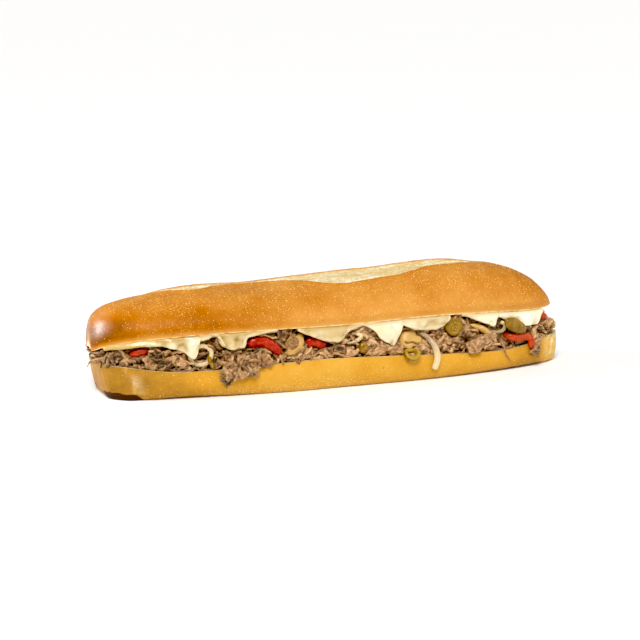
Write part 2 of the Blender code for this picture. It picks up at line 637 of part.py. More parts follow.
def loose_shavings(rng):
    """Paths, directions and widths of shavings along the front and the back of the filling."""
    for row, (side, level, width, spacing) in enumerate(SHAVING_LEVELS):
        x = CORE_LEFT + 8 + 5 * (row % 3)
        while x < CORE_RIGHT - 8:
            for _ in range(SHAVING_TRIES):
                length = SHAVING_LENGTH * rng.uniform(0.7, 1.15)
                tilt = rng.uniform(-0.7, 0.7)
                middle = x + rng.uniform(-3, 3)
                low, high = along(BOTTOM_RIM, middle), along(TOP_RIM, middle)
                height = low + (high - low) * (level + rng.uniform(-0.06, 0.06))
                path = []
                for t in np.linspace(-0.5, 0.5, SHAVING_ROWS):
                    place = middle + t * length * math.cos(tilt)
                    outset = SHAVING_OUTSET + math.sin(3 * t + x) - SHAVING_DIG * t * t
                    path.append(placed((place, outset, height + t * length * math.sin(tilt)), side))
                across = (-math.sin(tilt), side * rng.uniform(-0.5, 0.5), math.cos(tilt))
                yield np.array(path), across, width * rng.uniform(0.7, 1.15), (row, x)
            x += spacing


def tree_of(shape):
    points, faces = shape
    return BVHTree.FromPolygons([Vector(point) for point in points], faces)


def world_tree(obj):
    bpy.context.view_layer.update()
    points = [obj.matrix_world @ vertex.co / MM for vertex in obj.data.vertices]
    return BVHTree.FromPolygons(points, [tuple(face.vertices) for face in obj.data.polygons])


def keep_largest_body(obj):
    """Drops loose scraps and the walls of sealed hollows after a union."""
    made = bmesh.new()
    made.from_mesh(obj.data)
    bmesh.ops.triangulate(made, faces=made.faces)
    bmesh.ops.remove_doubles(made, verts=made.verts, dist=WELD * MM)
    unseen = set(made.faces)
    bodies = []
    while unseen:
        body, queue = set(), [unseen.pop()]
        while queue:
            face = queue.pop()
            body.add(face)
            for edge in face.edges:
                pair = edge.link_faces if len(edge.link_faces) == 2 else ()
                for other in pair:
                    if other in unseen:
                        unseen.remove(other)
                        queue.append(other)
        bodies.append(body)
    largest = max(bodies, key=len)
    bmesh.ops.delete(made, geom=[face for face in made.faces if face not in largest], context="FACES")
    made.to_mesh(obj.data)
    made.free()


def make_steak(parent, neighbours):
    """One heap: a core with the shavings that show fused on, clear of everything round it."""
    finish = material("shaved_steak", (0.32, 0.19, 0.11), 0.5)
    rng = np.random.default_rng(SEED)
    trees = [world_tree(obj) for obj in neighbours]
    shapes = []

    def add(path, across, width, fold):
        seed = int(rng.integers(1e6))
        wide = crumpled(path, across, width + 2 * CLEARANCE, np.random.default_rng(seed), fold,
                        SHAVING_THICKNESS + 2 * CLEARANCE)
        tree = tree_of(wide)
        if any(tree.overlap(other) for other in trees):
            return False
        shapes.append(crumpled(path, across, width, np.random.default_rng(seed), fold))
        return True

    for points, width in HANGING:
        path = smooth_path([placed(point, -1) for point in points], SHAVING_ROWS + 2)
        if not any(add(path, (1, 0, 0.1), width * share, HANGING_FOLD) for share in SMALLER):
            print("a hanging shaving is left out at", points[0])
    for points, width in END_SHREDS:
        path = smooth_path(points, SHAVING_ROWS + 1)
        if not any(add(path, (0, 1, 0.2), width * share, HANGING_FOLD) for share in SMALLER):
            print("an end shaving is left out at", points[0])
    filled = set()
    for path, across, width, place in loose_shavings(rng):
        if place not in filled and add(path, across, width, rng.uniform(*SHAVING_FOLD)):
            filled.add(place)

    core = add_object("steak_filling", core_shape(), finish, origin=(0, 0, along(BOTTOM_RIM, 0)),
                      parent=parent)
    pieces = bpy.data.collections.new("shavings")
    bpy.context.scene.collection.children.link(pieces)
    for shape in shapes:
        piece = add_object("shaving", shape, finish, parent=parent)
        bpy.context.scene.collection.objects.unlink(piece)
        pieces.objects.link(piece)
    join = core.modifiers.new("fuse_shavings", "BOOLEAN")
    join.operation = "UNION"
    join.operand_type = "COLLECTION"
    join.collection = pieces
    join.solver = "MANIFOLD"
    bpy.context.view_layer.update()
    fused = bpy.data.meshes.new_from_object(core.evaluated_get(bpy.context.evaluated_depsgraph_get()))
    core.modifiers.remove(join)
    core.data = fused
    for piece in list(pieces.objects):
        bpy.data.objects.remove(piece)
    bpy.data.collections.remove(pieces)
    keep_largest_body(core)
    print(len(shapes), "shavings,", len(core.data.polygons), "faces on the steak")


def main():
    for obj in list(bpy.data.objects):
        bpy.data.objects.remove(obj)
    sandwich = bpy.data.objects.new("sandwich", None)
    bpy.context.scene.collection.objects.link(sandwich)
    make_roll(sandwich)
    neighbours = [obj for obj in bpy.data.objects if obj.type == "MESH"]
    neighbours += make_cheese(sandwich)
    neighbours += make_vegetables(sandwich)
    make_steak(sandwich, neighbours)


main()
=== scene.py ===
"""A foot-long submarine sandwich: a split roll with shaved steak, melted cheese and cut vegetables.

The long axis runs along X, the front faces -Y and the underside rests on z = 0. Shapes are drawn in
millimetres and become metres when a mesh is made.
"""

import json
import math

import bpy
import numpy as np
from mathutils import Euler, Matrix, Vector, noise
from mathutils.bvhtree import BVHTree

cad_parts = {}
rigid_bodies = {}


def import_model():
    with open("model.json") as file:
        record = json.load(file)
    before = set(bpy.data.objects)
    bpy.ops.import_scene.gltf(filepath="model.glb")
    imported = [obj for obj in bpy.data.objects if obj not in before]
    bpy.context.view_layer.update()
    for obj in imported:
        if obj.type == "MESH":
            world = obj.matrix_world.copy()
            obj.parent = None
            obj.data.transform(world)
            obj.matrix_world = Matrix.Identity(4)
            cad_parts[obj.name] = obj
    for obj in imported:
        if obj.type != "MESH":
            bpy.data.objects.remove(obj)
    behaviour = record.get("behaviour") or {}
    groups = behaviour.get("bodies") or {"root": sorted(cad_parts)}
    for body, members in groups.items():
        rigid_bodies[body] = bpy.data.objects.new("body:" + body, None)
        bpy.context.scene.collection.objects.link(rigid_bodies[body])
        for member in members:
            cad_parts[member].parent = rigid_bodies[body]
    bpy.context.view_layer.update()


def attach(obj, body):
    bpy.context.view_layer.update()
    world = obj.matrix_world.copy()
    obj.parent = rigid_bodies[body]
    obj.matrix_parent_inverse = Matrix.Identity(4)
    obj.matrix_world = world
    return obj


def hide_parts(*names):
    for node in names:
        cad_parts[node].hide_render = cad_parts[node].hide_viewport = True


bl_info = {
    "name": "Submarine sandwich",
    "version": (1, 0, 0),
    "blender": (4, 5, 0),
    "location": "3D View > Sidebar > Sandwich",
    "description": "Builds a filled submarine sandwich round its plain solids",
    "category": "Add Mesh",
}

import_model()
MM = 0.001

# The roll: half its width, where its two halves end, and how blunt their ends are
HALF_WIDTH = 38.5
TOP_END_LEFT, TOP_END_RIGHT = -153.8, 151.4
BOTTOM_END_LEFT, BOTTOM_END_RIGHT = -152.0, 155.5
PLAN_POWER, TOP_BLUNT_POWER, BOTTOM_BLUNT_POWER = 2.5, 2.9, 3.1
# Heights along the roll, as (x, z)
TOP_RIM = ((-155, 27.0), (-150, 31.2), (-145, 33.5), (-134, 35.9), (-105, 38.5), (-60, 39.6),
           (0, 39.3), (50, 40.4), (95, 39.2), (134, 36.7), (156, 36.6))
RIDGE = ((-155, 57.0), (-120, 58.8), (-90, 61.0), (-50, 60.9), (-10, 62.8), (35, 64.6), (77, 67.3),
         (103, 65.2), (118, 62.4), (128, 58.9), (137, 53.8), (144, 47.4), (148.5, 41.8), (151.4, 37.4))
BOTTOM_RIM = ((-154, 22.5), (-139, 21.2), (-115, 18.2), (-60, 18.4), (-25, 19.6), (20, 18.4), (70, 15.8),
              (115, 14.6), (140, 17.8), (156, 18.6))
# The flat underside: its share of the half width, and how far it lifts off the floor at the ends
BASE_SHARE = ((-152, 0.1), (-149.8, 0.22), (-148.4, 0.4), (-147.6, 0.54), (-146, 0.68), (-143, 0.82),
              (-137, 0.93), (-124, 0.82), (-105, 0.71), (-72, 0.80), (-35, 0.90), (0, 0.86),
              (50, 0.86), (85, 0.79), (115, 0.68), (150, 0.70))
UNDERSIDE = ((-152, 21.0), (-151.2, 19.6), (-150.2, 17.0), (-149.2, 13.0), (-148.4, 8.0), (-147.4, 4.0),
             (-146, 1.0), (-144, 0.0), (-141, 0.0),
             (147, 0.0), (149.5, 0.0), (153.4, 2.6), (155, 7.0), (155.5, 11.0))
NOSE_POWER, DOME_POWER = 5.4, 2.3
RIM_TUCK, CUT_HOLLOW, TROUGH, SIDE_BULGE = 1.2, 1.6, 5.0, 0.9
CORNER_SHARE, SIDE_UPRIGHT = 0.62, 0.36
FOOT_START, FOOT_FULL, FOOT_HEIGHT, FOOT_INSET = -121.0, -130.0, 4.2, 1.2
CRUST_WAVE, CRUST_WAVE_SPREAD = 0.45, (26.0, 17.0, 17.0)
# The score along the top, as (x, y) of its two lips
SCORE_NEAR = ((-150, 4.0), (-104, 3.0), (-86, -6.0), (-72, 1.0), (-36, 0.0), (-18, -9.5), (-6, -17.0),
              (26, -16.5), (50, -14.0), (60, -10.5), (80, -8.5), (98, -2.0), (150, 0.0))
SCORE_FAR = ((-150, 6.0), (-118, 7.0), (-45, 9.0), (0, 10.0), (50, 8.0), (80, 4.0), (100, 1.0), (150, 3.0))
SCORE_START, SCORE_END, SCORE_FADE = -126.0, 104.0, 22.0
LIP_HEIGHT, LIP_WIDTH, SCORE_DEPTH = 1.1, 2.4, 0.7
BREAD_STATIONS, DOME_STEPS, CUT_STEPS, SIDE_STEPS, BASE_STEPS = 430, 150, 40, 46, 16

# The cheese: where each slice's front and back edges hang, as (x, drop below the top half's rim)
GAP, CHEESE_THICKNESS, LIP_INSET = 0.4, 1.8, 1.7
CHEESE = {
    "a": (((-147, 3.6), (-138, 4.8), (-126, 5.0), (-117, 5.8), (-108, 8.9), (-102, 12.2), (-97.5, 15.4),
           (-94.5, 7.0)),
          ((-144, 2.6), (-134, 4.0), (-124, 8.0), (-115, 9.5), (-109, 6.0), (-104, 3.2), (-98, 3.0),
           (-94.5, 2.4))),
    "b": (((-92.5, 4.6), (-86, 3.4), (-82.5, 3.0), (-79.5, 9.6), (-73, 11.8), (-68, 10.2), (-65, 5.0),
           (-47, 2.2)),
          ((-92.5, 3.4), (-86, 8.5), (-80, 13.2), (-76, 8.0), (-70, 5.0), (-64, 4.2), (-55, 3.4),
           (-47, 2.6))),
    "c": (((-31, 3.2), (-26, 6.0), (-20, 8.4), (-13, 10.7), (-7, 11.0), (-3, 9.6), (0, 5.0), (8.4, 2.6)),
          ((-31, 2.4), (-24, 4.0), (-18, 9.6), (-12, 11.2), (-6, 10.0), (-1, 5.5), (3, 4.0), (8.4, 3.0))),
    "d": (((9.6, 2.4), (13, 3.4), (17, 7.0), (21, 12.0), (25.5, 15.4), (29.5, 17.6), (32.5, 10.0),
           (34.8, 5.0)),
          ((9.6, 3.0), (13, 5.0), (17, 6.0), (21, 5.4), (25.5, 4.2), (29, 3.2), (32.5, 3.0), (34.8, 2.6))),
    "e": (((36, 5.0), (41, 7.6), (46, 9.2), (51, 10.0), (57, 10.2), (62, 9.4), (65.4, 7.6), (66.6, 2.2)),
          ((36, 3.0), (41, 7.0), (46, 12.6), (49, 14.4), (53, 10.0), (58, 5.6), (63, 4.4), (66.6, 3.0))),
    "f": (((78.5, 2.2), (83, 3.6), (88, 6.2), (92, 7.8), (96, 9.2), (99.5, 10.2), (100.6, 6.0),
           (101.2, 2.4)),
          ((78.5, 2.6), (83, 6.4), (87, 9.4), (91, 10.4), (95, 8.8), (98, 5.4), (100, 3.4), (101.2, 2.6))),
    "g": (((102.6, 3.6), (109, 6.4), (116, 9.0), (123, 11.0), (130, 11.5), (134.5, 11.2), (136.2, 8.0),
           (136.8, 2.0)),
          ((102.6, 2.6), (108, 3.4), (114, 5.0), (120, 8.4), (125, 11.0), (130, 12.0), (134, 7.0),
           (136.8, 2.4))),
}
# How deeply each slice is folded, and how little it has melted; a negative freshness instead darkens the slice with
# painted shade
FOLDING = {"a": 1.2, "b": 1.6, "c": 1.25, "d": 1.0, "e": 1.0, "f": 0.6, "g": 0.4}
ROLL = {"a": 0.6, "b": 2.1, "c": 1.1, "d": 0.6, "e": 0.9, "f": 0.4, "g": 0.3}
FRESHNESS_AND_SHADE = {"a": 0.3, "b": -0.35, "c": -0.4, "d": 0.4, "e": 0.2, "f": 0.5, "g": 1.0}

# Strips: points as (x, outset from the rim, z), then width, thickness and side, -1 the front and 1 the back
STRIPS = {
    "red_pepper_1": (((-134.2, -4.3, 27.4), (-129.2, -4.1, 29.2), (-123.4, -4.6, 29.8)), 5.0, 3.2, -1),
    "red_pepper_2": (((-63.4, -4.1, 29.6), (-60.6, -3.6, 31.6), (-56.4, -3.4, 32.4), (-51.6, -3.4, 31.1),
                      (-46.6, -3.6, 27.8), (-43.4, -4.1, 23.2)), 6.6, 3.8, -1),
    "red_pepper_3": (((-26.8, -4.2, 29.8), (-19.8, -3.6, 29.4), (-13.6, -4.0, 26.6)), 6.2, 3.4, -1),
    "red_pepper_4": (((108.8, -3.6, 23.8), (111.0, 0.4, 22.4), (115.8, 2.8, 21.4), (122.0, 3.1, 21.2),
                      (126.8, 3.1, 19.2), (127.8, 3.3, 12.6)), 4.8, 2.6, -1),
    "red_pepper_5": (((137.0, -3.2, 31.6), (143.4, 0.4, 30.6)), 4.4, 2.8, -1),
    "red_pepper_6": (((-64, -5.0, 29.0), (-56, -4.6, 30.6), (-48, -5.0, 28.0)), 5.4, 3.4, 1),
    "red_pepper_7": (((68, -5.0, 25.6), (76, -4.6, 27.0), (83.5, -5.2, 25.2)), 5.0, 3.2, 1),
    "green_pepper_1": (((8.4, -2.4, 27.0), (10.2, -1.4, 24.0), (11.2, -1.2, 20.6)), 6.2, 2.8, -1),
    "green_pepper_2": (((-87.9, -4.4, 26.0), (-87.3, -1.2, 22.6), (-86.3, 2.3, 18.6)), 2.6, 2.0, -1),
    "onion_2": (((48.8, -4.6, 30.4), (52.8, -2.6, 27.4), (56.2, 0.9, 23.0), (57.6, 2.8, 18.4),
                 (57.9, 3.2, 13.4), (55.8, 3.2, 7.4)), 4.2, 1.8, -1),
    "onion_3": (((-0.2, -4.2, 27.2), (3.7, -3.0, 27.8), (7.3, -2.6, 29.4), (8.7, -2.8, 31.6),
                 (6.2, -4.0, 33.0)), 2.6, 1.8, -1),
    "onion_4": (((98.0, -2.6, 27.0), (103.5, -1.6, 25.8), (107.8, -1.4, 27.2), (108.6, -1.8, 30.2),
                 (105.6, -2.8, 31.6)), 2.6, 1.8, -1),
    "onion_5": (((6, -5.2, 26.0), (13, -4.2, 24.2), (18, -0.4, 21.0), (19.5, 2.8, 15.6),
                 (18, 3.2, 9.0)), 4.0, 1.8, 1),
    "mushroom_3": (((83.6, -3.8, 32.2), (90.9, -3.0, 29.6), (97.2, -1.8, 24.8), (101.4, 0.2, 19.6)),
                   4.6, 3.0, -1),
}
# Rings: centre as (x, outset, z), turn in degrees, middle radius, radial width, thickness and side
RINGS = {
    "onion_1": ((-92.6, -3.6, 26.1), (6, 0, -8), 6.2, 2.8, 2.0, -1),
    "green_pepper_3": ((40.9, 2.5, 19.2), (-34, 0, 0), 4.0, 2.6, 3.0, -1),
    "green_pepper_6": ((-8.0, -5.4, 25.4), (6, 0, 0), 5.0, 3.0, 3.0, 1),
    "onion_6": ((112.0, -5.4, 24.4), (0, 0, -14), 5.6, 2.5, 2.0, 1),
}
# Pepper pieces whose skin is painted lighter, towards the flesh colour: painted light where they stand out in the
# light
PEPPER_PAINTED_LIGHT = {"red_pepper_1": 0.25, "red_pepper_4": 0.4, "red_pepper_5": 0.4}
GREEN_DISC = ((72.3, -4.8, 32.0), (0, 14, 8), -1)
DISC_RADIUS, DISC_RIM, DISC_WEB = 6.2, 3.6, 1.6
GREEN_CAP = ((113.9, 3.6, 29.7), (0, 27, 12), -1)
CAP_RADII = (9.3, 3.3, 4.4)
MUSHROOMS = {
    "mushroom_1": ((-34.0, -4.6, 28.8), (0, 130, 0), 8.4, 11.6, 3.2, -1),
    "mushroom_2": ((42.2, -4.6, 26.0), (4, -76, 4), 6.2, 16.6, 3.0, -1),
    "mushroom_4": ((50.0, -5.6, 26.6), (0, 40, -4), 8.0, 12.0, 3.0, 1),
}

# The steak's core and its shavings
CORE_INSET, CORE_LEFT, CORE_RIGHT = 9.5, -141.0, 142.0
FLAKE_THICKNESS, WALL_GAP = 1.6, 1.5
STEAK_SEED = 7
# The pieces that no shaving may hide, and the way and distance that it looks for them, away from the camera
IN_FRONT = ("melted_cheese", "red_pepper_piece", "green_pepper_piece", "green_pepper_ring",
            "green_pepper_slice", "green_pepper_end", "onion_strip", "onion_ring", "mushroom_slice",
            "mushroom_edge")
SIGHT, SIGHT_REACH = (0.33, 0.92, -0.21), 16
# Shavings that hang or stick out: points as (x, outset, z), width of the bunch and how many shavings it has
BUNCHES = (
    (((-77, -5.4, 25.6), (-77.5, 1.6, 22.2), (-78, 4.0, 16), (-79.5, 3.6, 10.5)), 3.6, 12),
    (((-72.5, -5.4, 26.6), (-74, 1.8, 22.4), (-74, 4.2, 17.5), (-74, 4.0, 14.0)), 8.0, 18),
    (((-65, -5.4, 26.0), (-66, 1.6, 22.4), (-66, 4.0, 18.2), (-64.5, 4.0, 14.6)), 7.0, 9),
    (((86, -6.4, 24.6), (89, -1.0, 22.0), (92.5, 1.0, 20.6), (95, 1.2, 20.0)), 4.0, 5),
    (((128.0, -4.0, 19.4), (130.5, 1.4, 18.4), (130.8, 4.6, 14.0), (129.6, 4.4, 8.6)), 3.2, 6),
    (((-136, -4.4, 26.4), (-142, -2.0, 26.4), (-147, -1.2, 25.2)), 2.4, 6),
    (((138, -10.0, 25.6), (143, -3.0, 26.4), (147, 1.0, 24.6)), 5.6, 16),
    (((138, -12.0, 23.4), (144, -6.0, 23.4), (149, 0.0, 21.6)), 5.0, 14),
    (((-45, -6.6, 36.0), (-38, -6.8, 35.4), (-33, -6.8, 35.0)), 2.6, 8),
    (((67.0, -6.6, 36.8), (72, -6.8, 37.4), (79, -5.6, 35.6)), 2.6, 9),
    (((49, -4.4, 19.6), (53, -4.0, 20.6), (55, -4.4, 23.6)), 3.0, 6),
    (((99.5, -5.4, 31.0), (103, -5.0, 33.4), (106.5, -5.0, 35.2)), 2.6, 9),
    (((80, -6.6, 31.6), (88, -6.4, 30.4), (98, -6.2, 27.4)), 2.8, 12),
)

# Broad shavings in front: centre as (x, outset, z), length, width, turn, crumple, curl and tone
PLATES = (
    ((88.5, 2.6, 21.4), 17.0, 11.5, 18, 0.9, 0.7, 0.62),
    ((-55.5, 2.4, 23.0), 12.0, 9.5, 78, 1.0, 1.9, 0.45),
    ((-62.0, 3.4, 19.5), 10.0, 8.0, 30, 1.2, 1.2, 0.5),
    ((62.0, -1.2, 23.0), 14.0, 8.0, -12, 1.3, 0.8, 0.8),
    ((20.0, -1.6, 22.0), 13.0, 8.0, 14, 1.4, 1.0, 0.75),
)

# The stage, in metres: the floor, the suns as (angle across, direction), the panel beside the left end as
# (width, height, watts), its place and aim, and the point that the camera looks at
FLOOR_REACH, FLOOR_DROP, FLOOR_COLOUR = 9.0, -0.0001, (0.862, 0.855, 0.850)
KEY_SUN, FILL_SUN = (24, (-0.4, -0.95, 1.05)), (60, (1.2, -1.1, 0.7))
PANEL_SIZE, PANEL_PLACE, PANEL_AIM = (0.34, 0.60, 9.5), (-0.98, 0.22, 0.26), (-0.14, 0, 0.04)
CAMERA_AIM = (-0.005, 0.0, 0.0353)


class BreadSettings(bpy.types.PropertyGroup):
    """Sizes and colours of the roll."""

    crust: bpy.props.FloatVectorProperty(
        name="Crust", description="Colour of the evenly baked crust", subtype="COLOR", size=3,
        min=0, max=1, default=(0.53, 0.225, 0.039))
    dark_crust: bpy.props.FloatVectorProperty(
        name="Dark crust", description="Colour of the most browned crust", subtype="COLOR", size=3,
        min=0, max=1, default=(0.36, 0.112, 0.003))
    pale_crust: bpy.props.FloatVectorProperty(
        name="Pale crust", description="Colour of the crust that split open late", subtype="COLOR", size=3,
        min=0, max=1, default=(0.58, 0.44, 0.19))
    grain_radius: bpy.props.FloatProperty(
        name="Grain radius", description="Radius of a grain of cornmeal on the crust", subtype="DISTANCE",
        unit="LENGTH", default=0.0003, precision=5)
    grain_density: bpy.props.FloatProperty(
        name="Grains per square metre", description="How thickly the cornmeal lies on the crust",
        default=240000.0, min=0.0)
    seed: bpy.props.IntProperty(name="Seed", description="Seed of the scattered grains", default=5)


class FillingSettings(bpy.types.PropertyGroup):
    """Colours and numbers of the filling."""

    cheese: bpy.props.FloatVectorProperty(
        name="Cheese", description="Colour of the melted cheese", subtype="COLOR", size=3,
        min=0, max=1, default=(0.56, 0.41, 0.165))
    steak: bpy.props.FloatVectorProperty(
        name="Steak", description="Colour of the cooked shavings", subtype="COLOR", size=3,
        min=0, max=1, default=(0.265, 0.115, 0.031))
    red_pepper: bpy.props.FloatVectorProperty(
        name="Red pepper", description="Colour of the red pepper's skin", subtype="COLOR", size=3,
        min=0, max=1, default=(0.36, 0.012, 0.002))
    green_pepper: bpy.props.FloatVectorProperty(
        name="Green pepper", description="Colour of the green pepper's skin", subtype="COLOR", size=3,
        min=0, max=1, default=(0.225, 0.112, 0.005))
    onion: bpy.props.FloatVectorProperty(
        name="Onion", description="Colour of the cooked onion", subtype="COLOR", size=3,
        min=0, max=1, default=(0.70, 0.54, 0.29))
    mushroom: bpy.props.FloatVectorProperty(
        name="Mushroom", description="Colour of the cooked mushroom", subtype="COLOR", size=3,
        min=0, max=1, default=(0.60, 0.355, 0.085))
    front_shavings: bpy.props.IntProperty(
        name="Front shavings", description="Number of shavings along the front", default=640, min=0)
    back_shavings: bpy.props.IntProperty(
        name="Back shavings", description="Number of shavings along the back", default=380, min=0)


class StageSettings(bpy.types.PropertyGroup):
    """The camera and the lights."""

    black: bpy.props.FloatProperty(
        name="Black", description="Light that the picture shows as black", default=0.018, min=0, max=0.1)
    azimuth: bpy.props.FloatProperty(
        name="Azimuth", description="Turn of the camera round the sandwich", subtype="ANGLE",
        default=math.radians(-20))
    elevation: bpy.props.FloatProperty(
        name="Elevation", description="Height of the camera above the horizon", subtype="ANGLE",
        default=math.radians(12))
    distance: bpy.props.FloatProperty(
        name="Distance", description="Distance of the camera", subtype="DISTANCE", unit="LENGTH", default=1.4)
    lens: bpy.props.FloatProperty(
        name="Lens", description="Focal length in millimetres", default=126.0)
    sky: bpy.props.FloatProperty(
        name="Sky", description="Strength of the even white light from all sides", default=0.32)
    key: bpy.props.FloatProperty(
        name="Key light", description="Strength of the soft light from the upper left", default=3.15)
    fill: bpy.props.FloatProperty(
        name="Fill light", description="Strength of the soft light from the front right", default=1.1)


def along(knots, x):
    """The value at x of a smooth curve through the knots."""
    places, values = np.array(knots, float).T
    slopes = np.gradient(values, places)
    x = np.clip(x, places[0], places[-1])
    i = np.clip(np.searchsorted(places, x, side="right") - 1, 0, len(places) - 2)
    span = places[i + 1] - places[i]
    t = (x - places[i]) / span
    start = (1 + 2 * t) * (1 - t) ** 2 * values[i] + t * (1 - t) ** 2 * span * slopes[i]
    end = t * t * (3 - 2 * t) * values[i + 1] - t * t * (1 - t) * span * slopes[i + 1]
    return start + end


def ease(low, high, value):
    """Rises smoothly from 0 at low to 1 at high."""
    t = np.clip((np.asarray(value, float) - low) / (high - low), 0, 1)
    return t * t * (3 - 2 * t)


def shrink(x, end, power):
    """How a superellipse of this power closes towards its end, from 1 to 0."""
    return np.maximum(0, 1 - np.abs(x / end) ** power) ** (1 / power)


def top_half_width(x):
    left, right = shrink(x, TOP_END_LEFT, TOP_BLUNT_POWER), shrink(x, TOP_END_RIGHT, PLAN_POWER)
    return HALF_WIDTH * np.where(np.asarray(x) < 0, left, right)


def bottom_half_width(x):
    left, right = shrink(x, BOTTOM_END_LEFT, BOTTOM_BLUNT_POWER), shrink(x, BOTTOM_END_RIGHT, PLAN_POWER)
    return HALF_WIDTH * np.where(np.asarray(x) < 0, left, right)


def rim_half_width(x):
    """Half the width of the filling's opening at x."""
    return top_half_width(np.clip(x, TOP_END_LEFT + 1, TOP_END_RIGHT - 1))


def top_cut(x, y):
    """The height of the top half's cut face."""
    share = np.minimum(1, np.abs(y) / np.maximum(top_half_width(x), 1))
    return along(TOP_RIM, x) + CUT_HOLLOW * (1 - share * share)


def bottom_cut(x, y):
    """The height of the bottom half's cut face."""
    width = bottom_half_width(x)
    share = np.minimum(1, np.abs(y) / np.maximum(width, 1))
    return along(BOTTOM_RIM, x) - TROUGH * np.minimum(1, width / HALF_WIDTH) * (1 - share * share)


def ripple(points, size, seed=0):
    """Smooth noise from -1 to 1 at each point, with features about size millimetres across."""
    points = np.asarray(points, float)
    spots = (points / size).reshape(-1, 3) + np.array((17.3, -9.1, 5.7)) * seed
    return np.array([noise.noise(Vector(spot)) for spot in spots]).reshape(points.shape[:-1])


def score_lips(x):
    """The y of the score's near and far lips, a little ragged."""
    spots = np.stack([x, 0 * x, 0 * x], axis=-1)
    near = along(SCORE_NEAR, x) + 0.9 * ripple(spots, 8.0, 1) + 0.35 * ripple(spots, 2.6, 2)
    far = along(SCORE_FAR, x) + 0.9 * ripple(spots, 8.0, 3) + 0.35 * ripple(spots, 2.6, 4)
    return near, far


def score_opening(x):
    closing = ease(SCORE_END - SCORE_FADE, SCORE_END, x)
    return ease(SCORE_START, SCORE_START + SCORE_FADE, x) * (1 - closing)


def to_front(x, outset, z, side=-1):
    """(x, y, z) of a point at an outset from the rim, on the front or the back."""
    return np.stack(np.broadcast_arrays(x, side * (rim_half_width(x) + outset), z), axis=-1)


def smooth_path(points, steps):
    """Evenly numbered points on a smooth curve through the given ones."""
    points = np.array(points, float)
    slopes = np.gradient(points, axis=0)
    t = np.linspace(0, len(points) - 1, steps)
    i = np.minimum(t.astype(int), len(points) - 2)
    s = (t - i)[:, None]
    start = (1 + 2 * s) * (1 - s) ** 2 * points[i] + s * (1 - s) ** 2 * slopes[i]
    end = s * s * (3 - 2 * s) * points[i + 1] - s * s * (1 - s) * slopes[i + 1]
    return start + end


def unit(vectors):
    return vectors / np.maximum(np.linalg.norm(vectors, axis=-1, keepdims=True), 1e-9)


def loft(rings, start, end):
    """Points and faces of a closed skin through rings of equal length, drawn to a point at each end."""
    count, around = rings.shape[:2]
    points = np.concatenate([rings.reshape(-1, 3), [start], [end]])
    index = np.arange(count * around).reshape(count, around)
    here, there = index, np.roll(index, -1, axis=1)
    quads = np.stack([here[:-1], here[1:], there[1:], there[:-1]], axis=-1).reshape(-1, 4)
    faces = quads.tolist()
    faces += [(len(points) - 2, int(a), int(b)) for a, b in zip(here[0], there[0])]
    faces += [(int(a), len(points) - 1, int(b)) for a, b in zip(here[-1], there[-1])]
    return points, faces


def pad(middle, thickness, edge):
    """Points and faces of a sheet round a grid of middle points, with a rounded edge of this width."""
    rows, columns = middle.shape[:2]
    down, across = np.gradient(middle, axis=0), np.gradient(middle, axis=1)
    normal = unit(np.cross(down, across))

    def from_ends(axis):
        steps = np.linalg.norm(np.diff(middle, axis=axis), axis=2)
        run = np.zeros((rows, columns))
        if axis == 0:
            run[1:] = np.cumsum(steps, axis=0)
            return np.minimum(run, run[-1:] - run)
        run[:, 1:] = np.cumsum(steps, axis=1)
        return np.minimum(run, run[:, -1:] - run)

    inside = np.minimum(from_ends(0), from_ends(1))
    share = np.clip(inside / edge, 0, 1)
    half = (thickness / 2 * np.sqrt(1 - (1 - share) ** 2))[..., None]
    half[0] = half[-1] = 0
    half[:, 0] = half[:, -1] = 0
    upper, lower = middle + normal * half, middle - normal * half
    points = np.concatenate([upper.reshape(-1, 3), lower[1:-1, 1:-1].reshape(-1, 3)])
    above = np.arange(rows * columns).reshape(rows, columns)
    below = above.copy()
    below[1:-1, 1:-1] = rows * columns + np.arange((rows - 2) * (columns - 2)).reshape(rows - 2, -1)

    def faces_of(grid):
        return np.stack([grid[:-1, :-1], grid[1:, :-1], grid[1:, 1:], grid[:-1, 1:]], axis=-1).reshape(-1, 4)

    faces = np.concatenate([faces_of(above), faces_of(below)[:, ::-1]])
    return points, faces, inside


def both_sides(values):
    """A grid's values for the points of a pad: its upper face, then the lower one without its border."""
    return np.concatenate([values.ravel(), values[1:-1, 1:-1].ravel()])


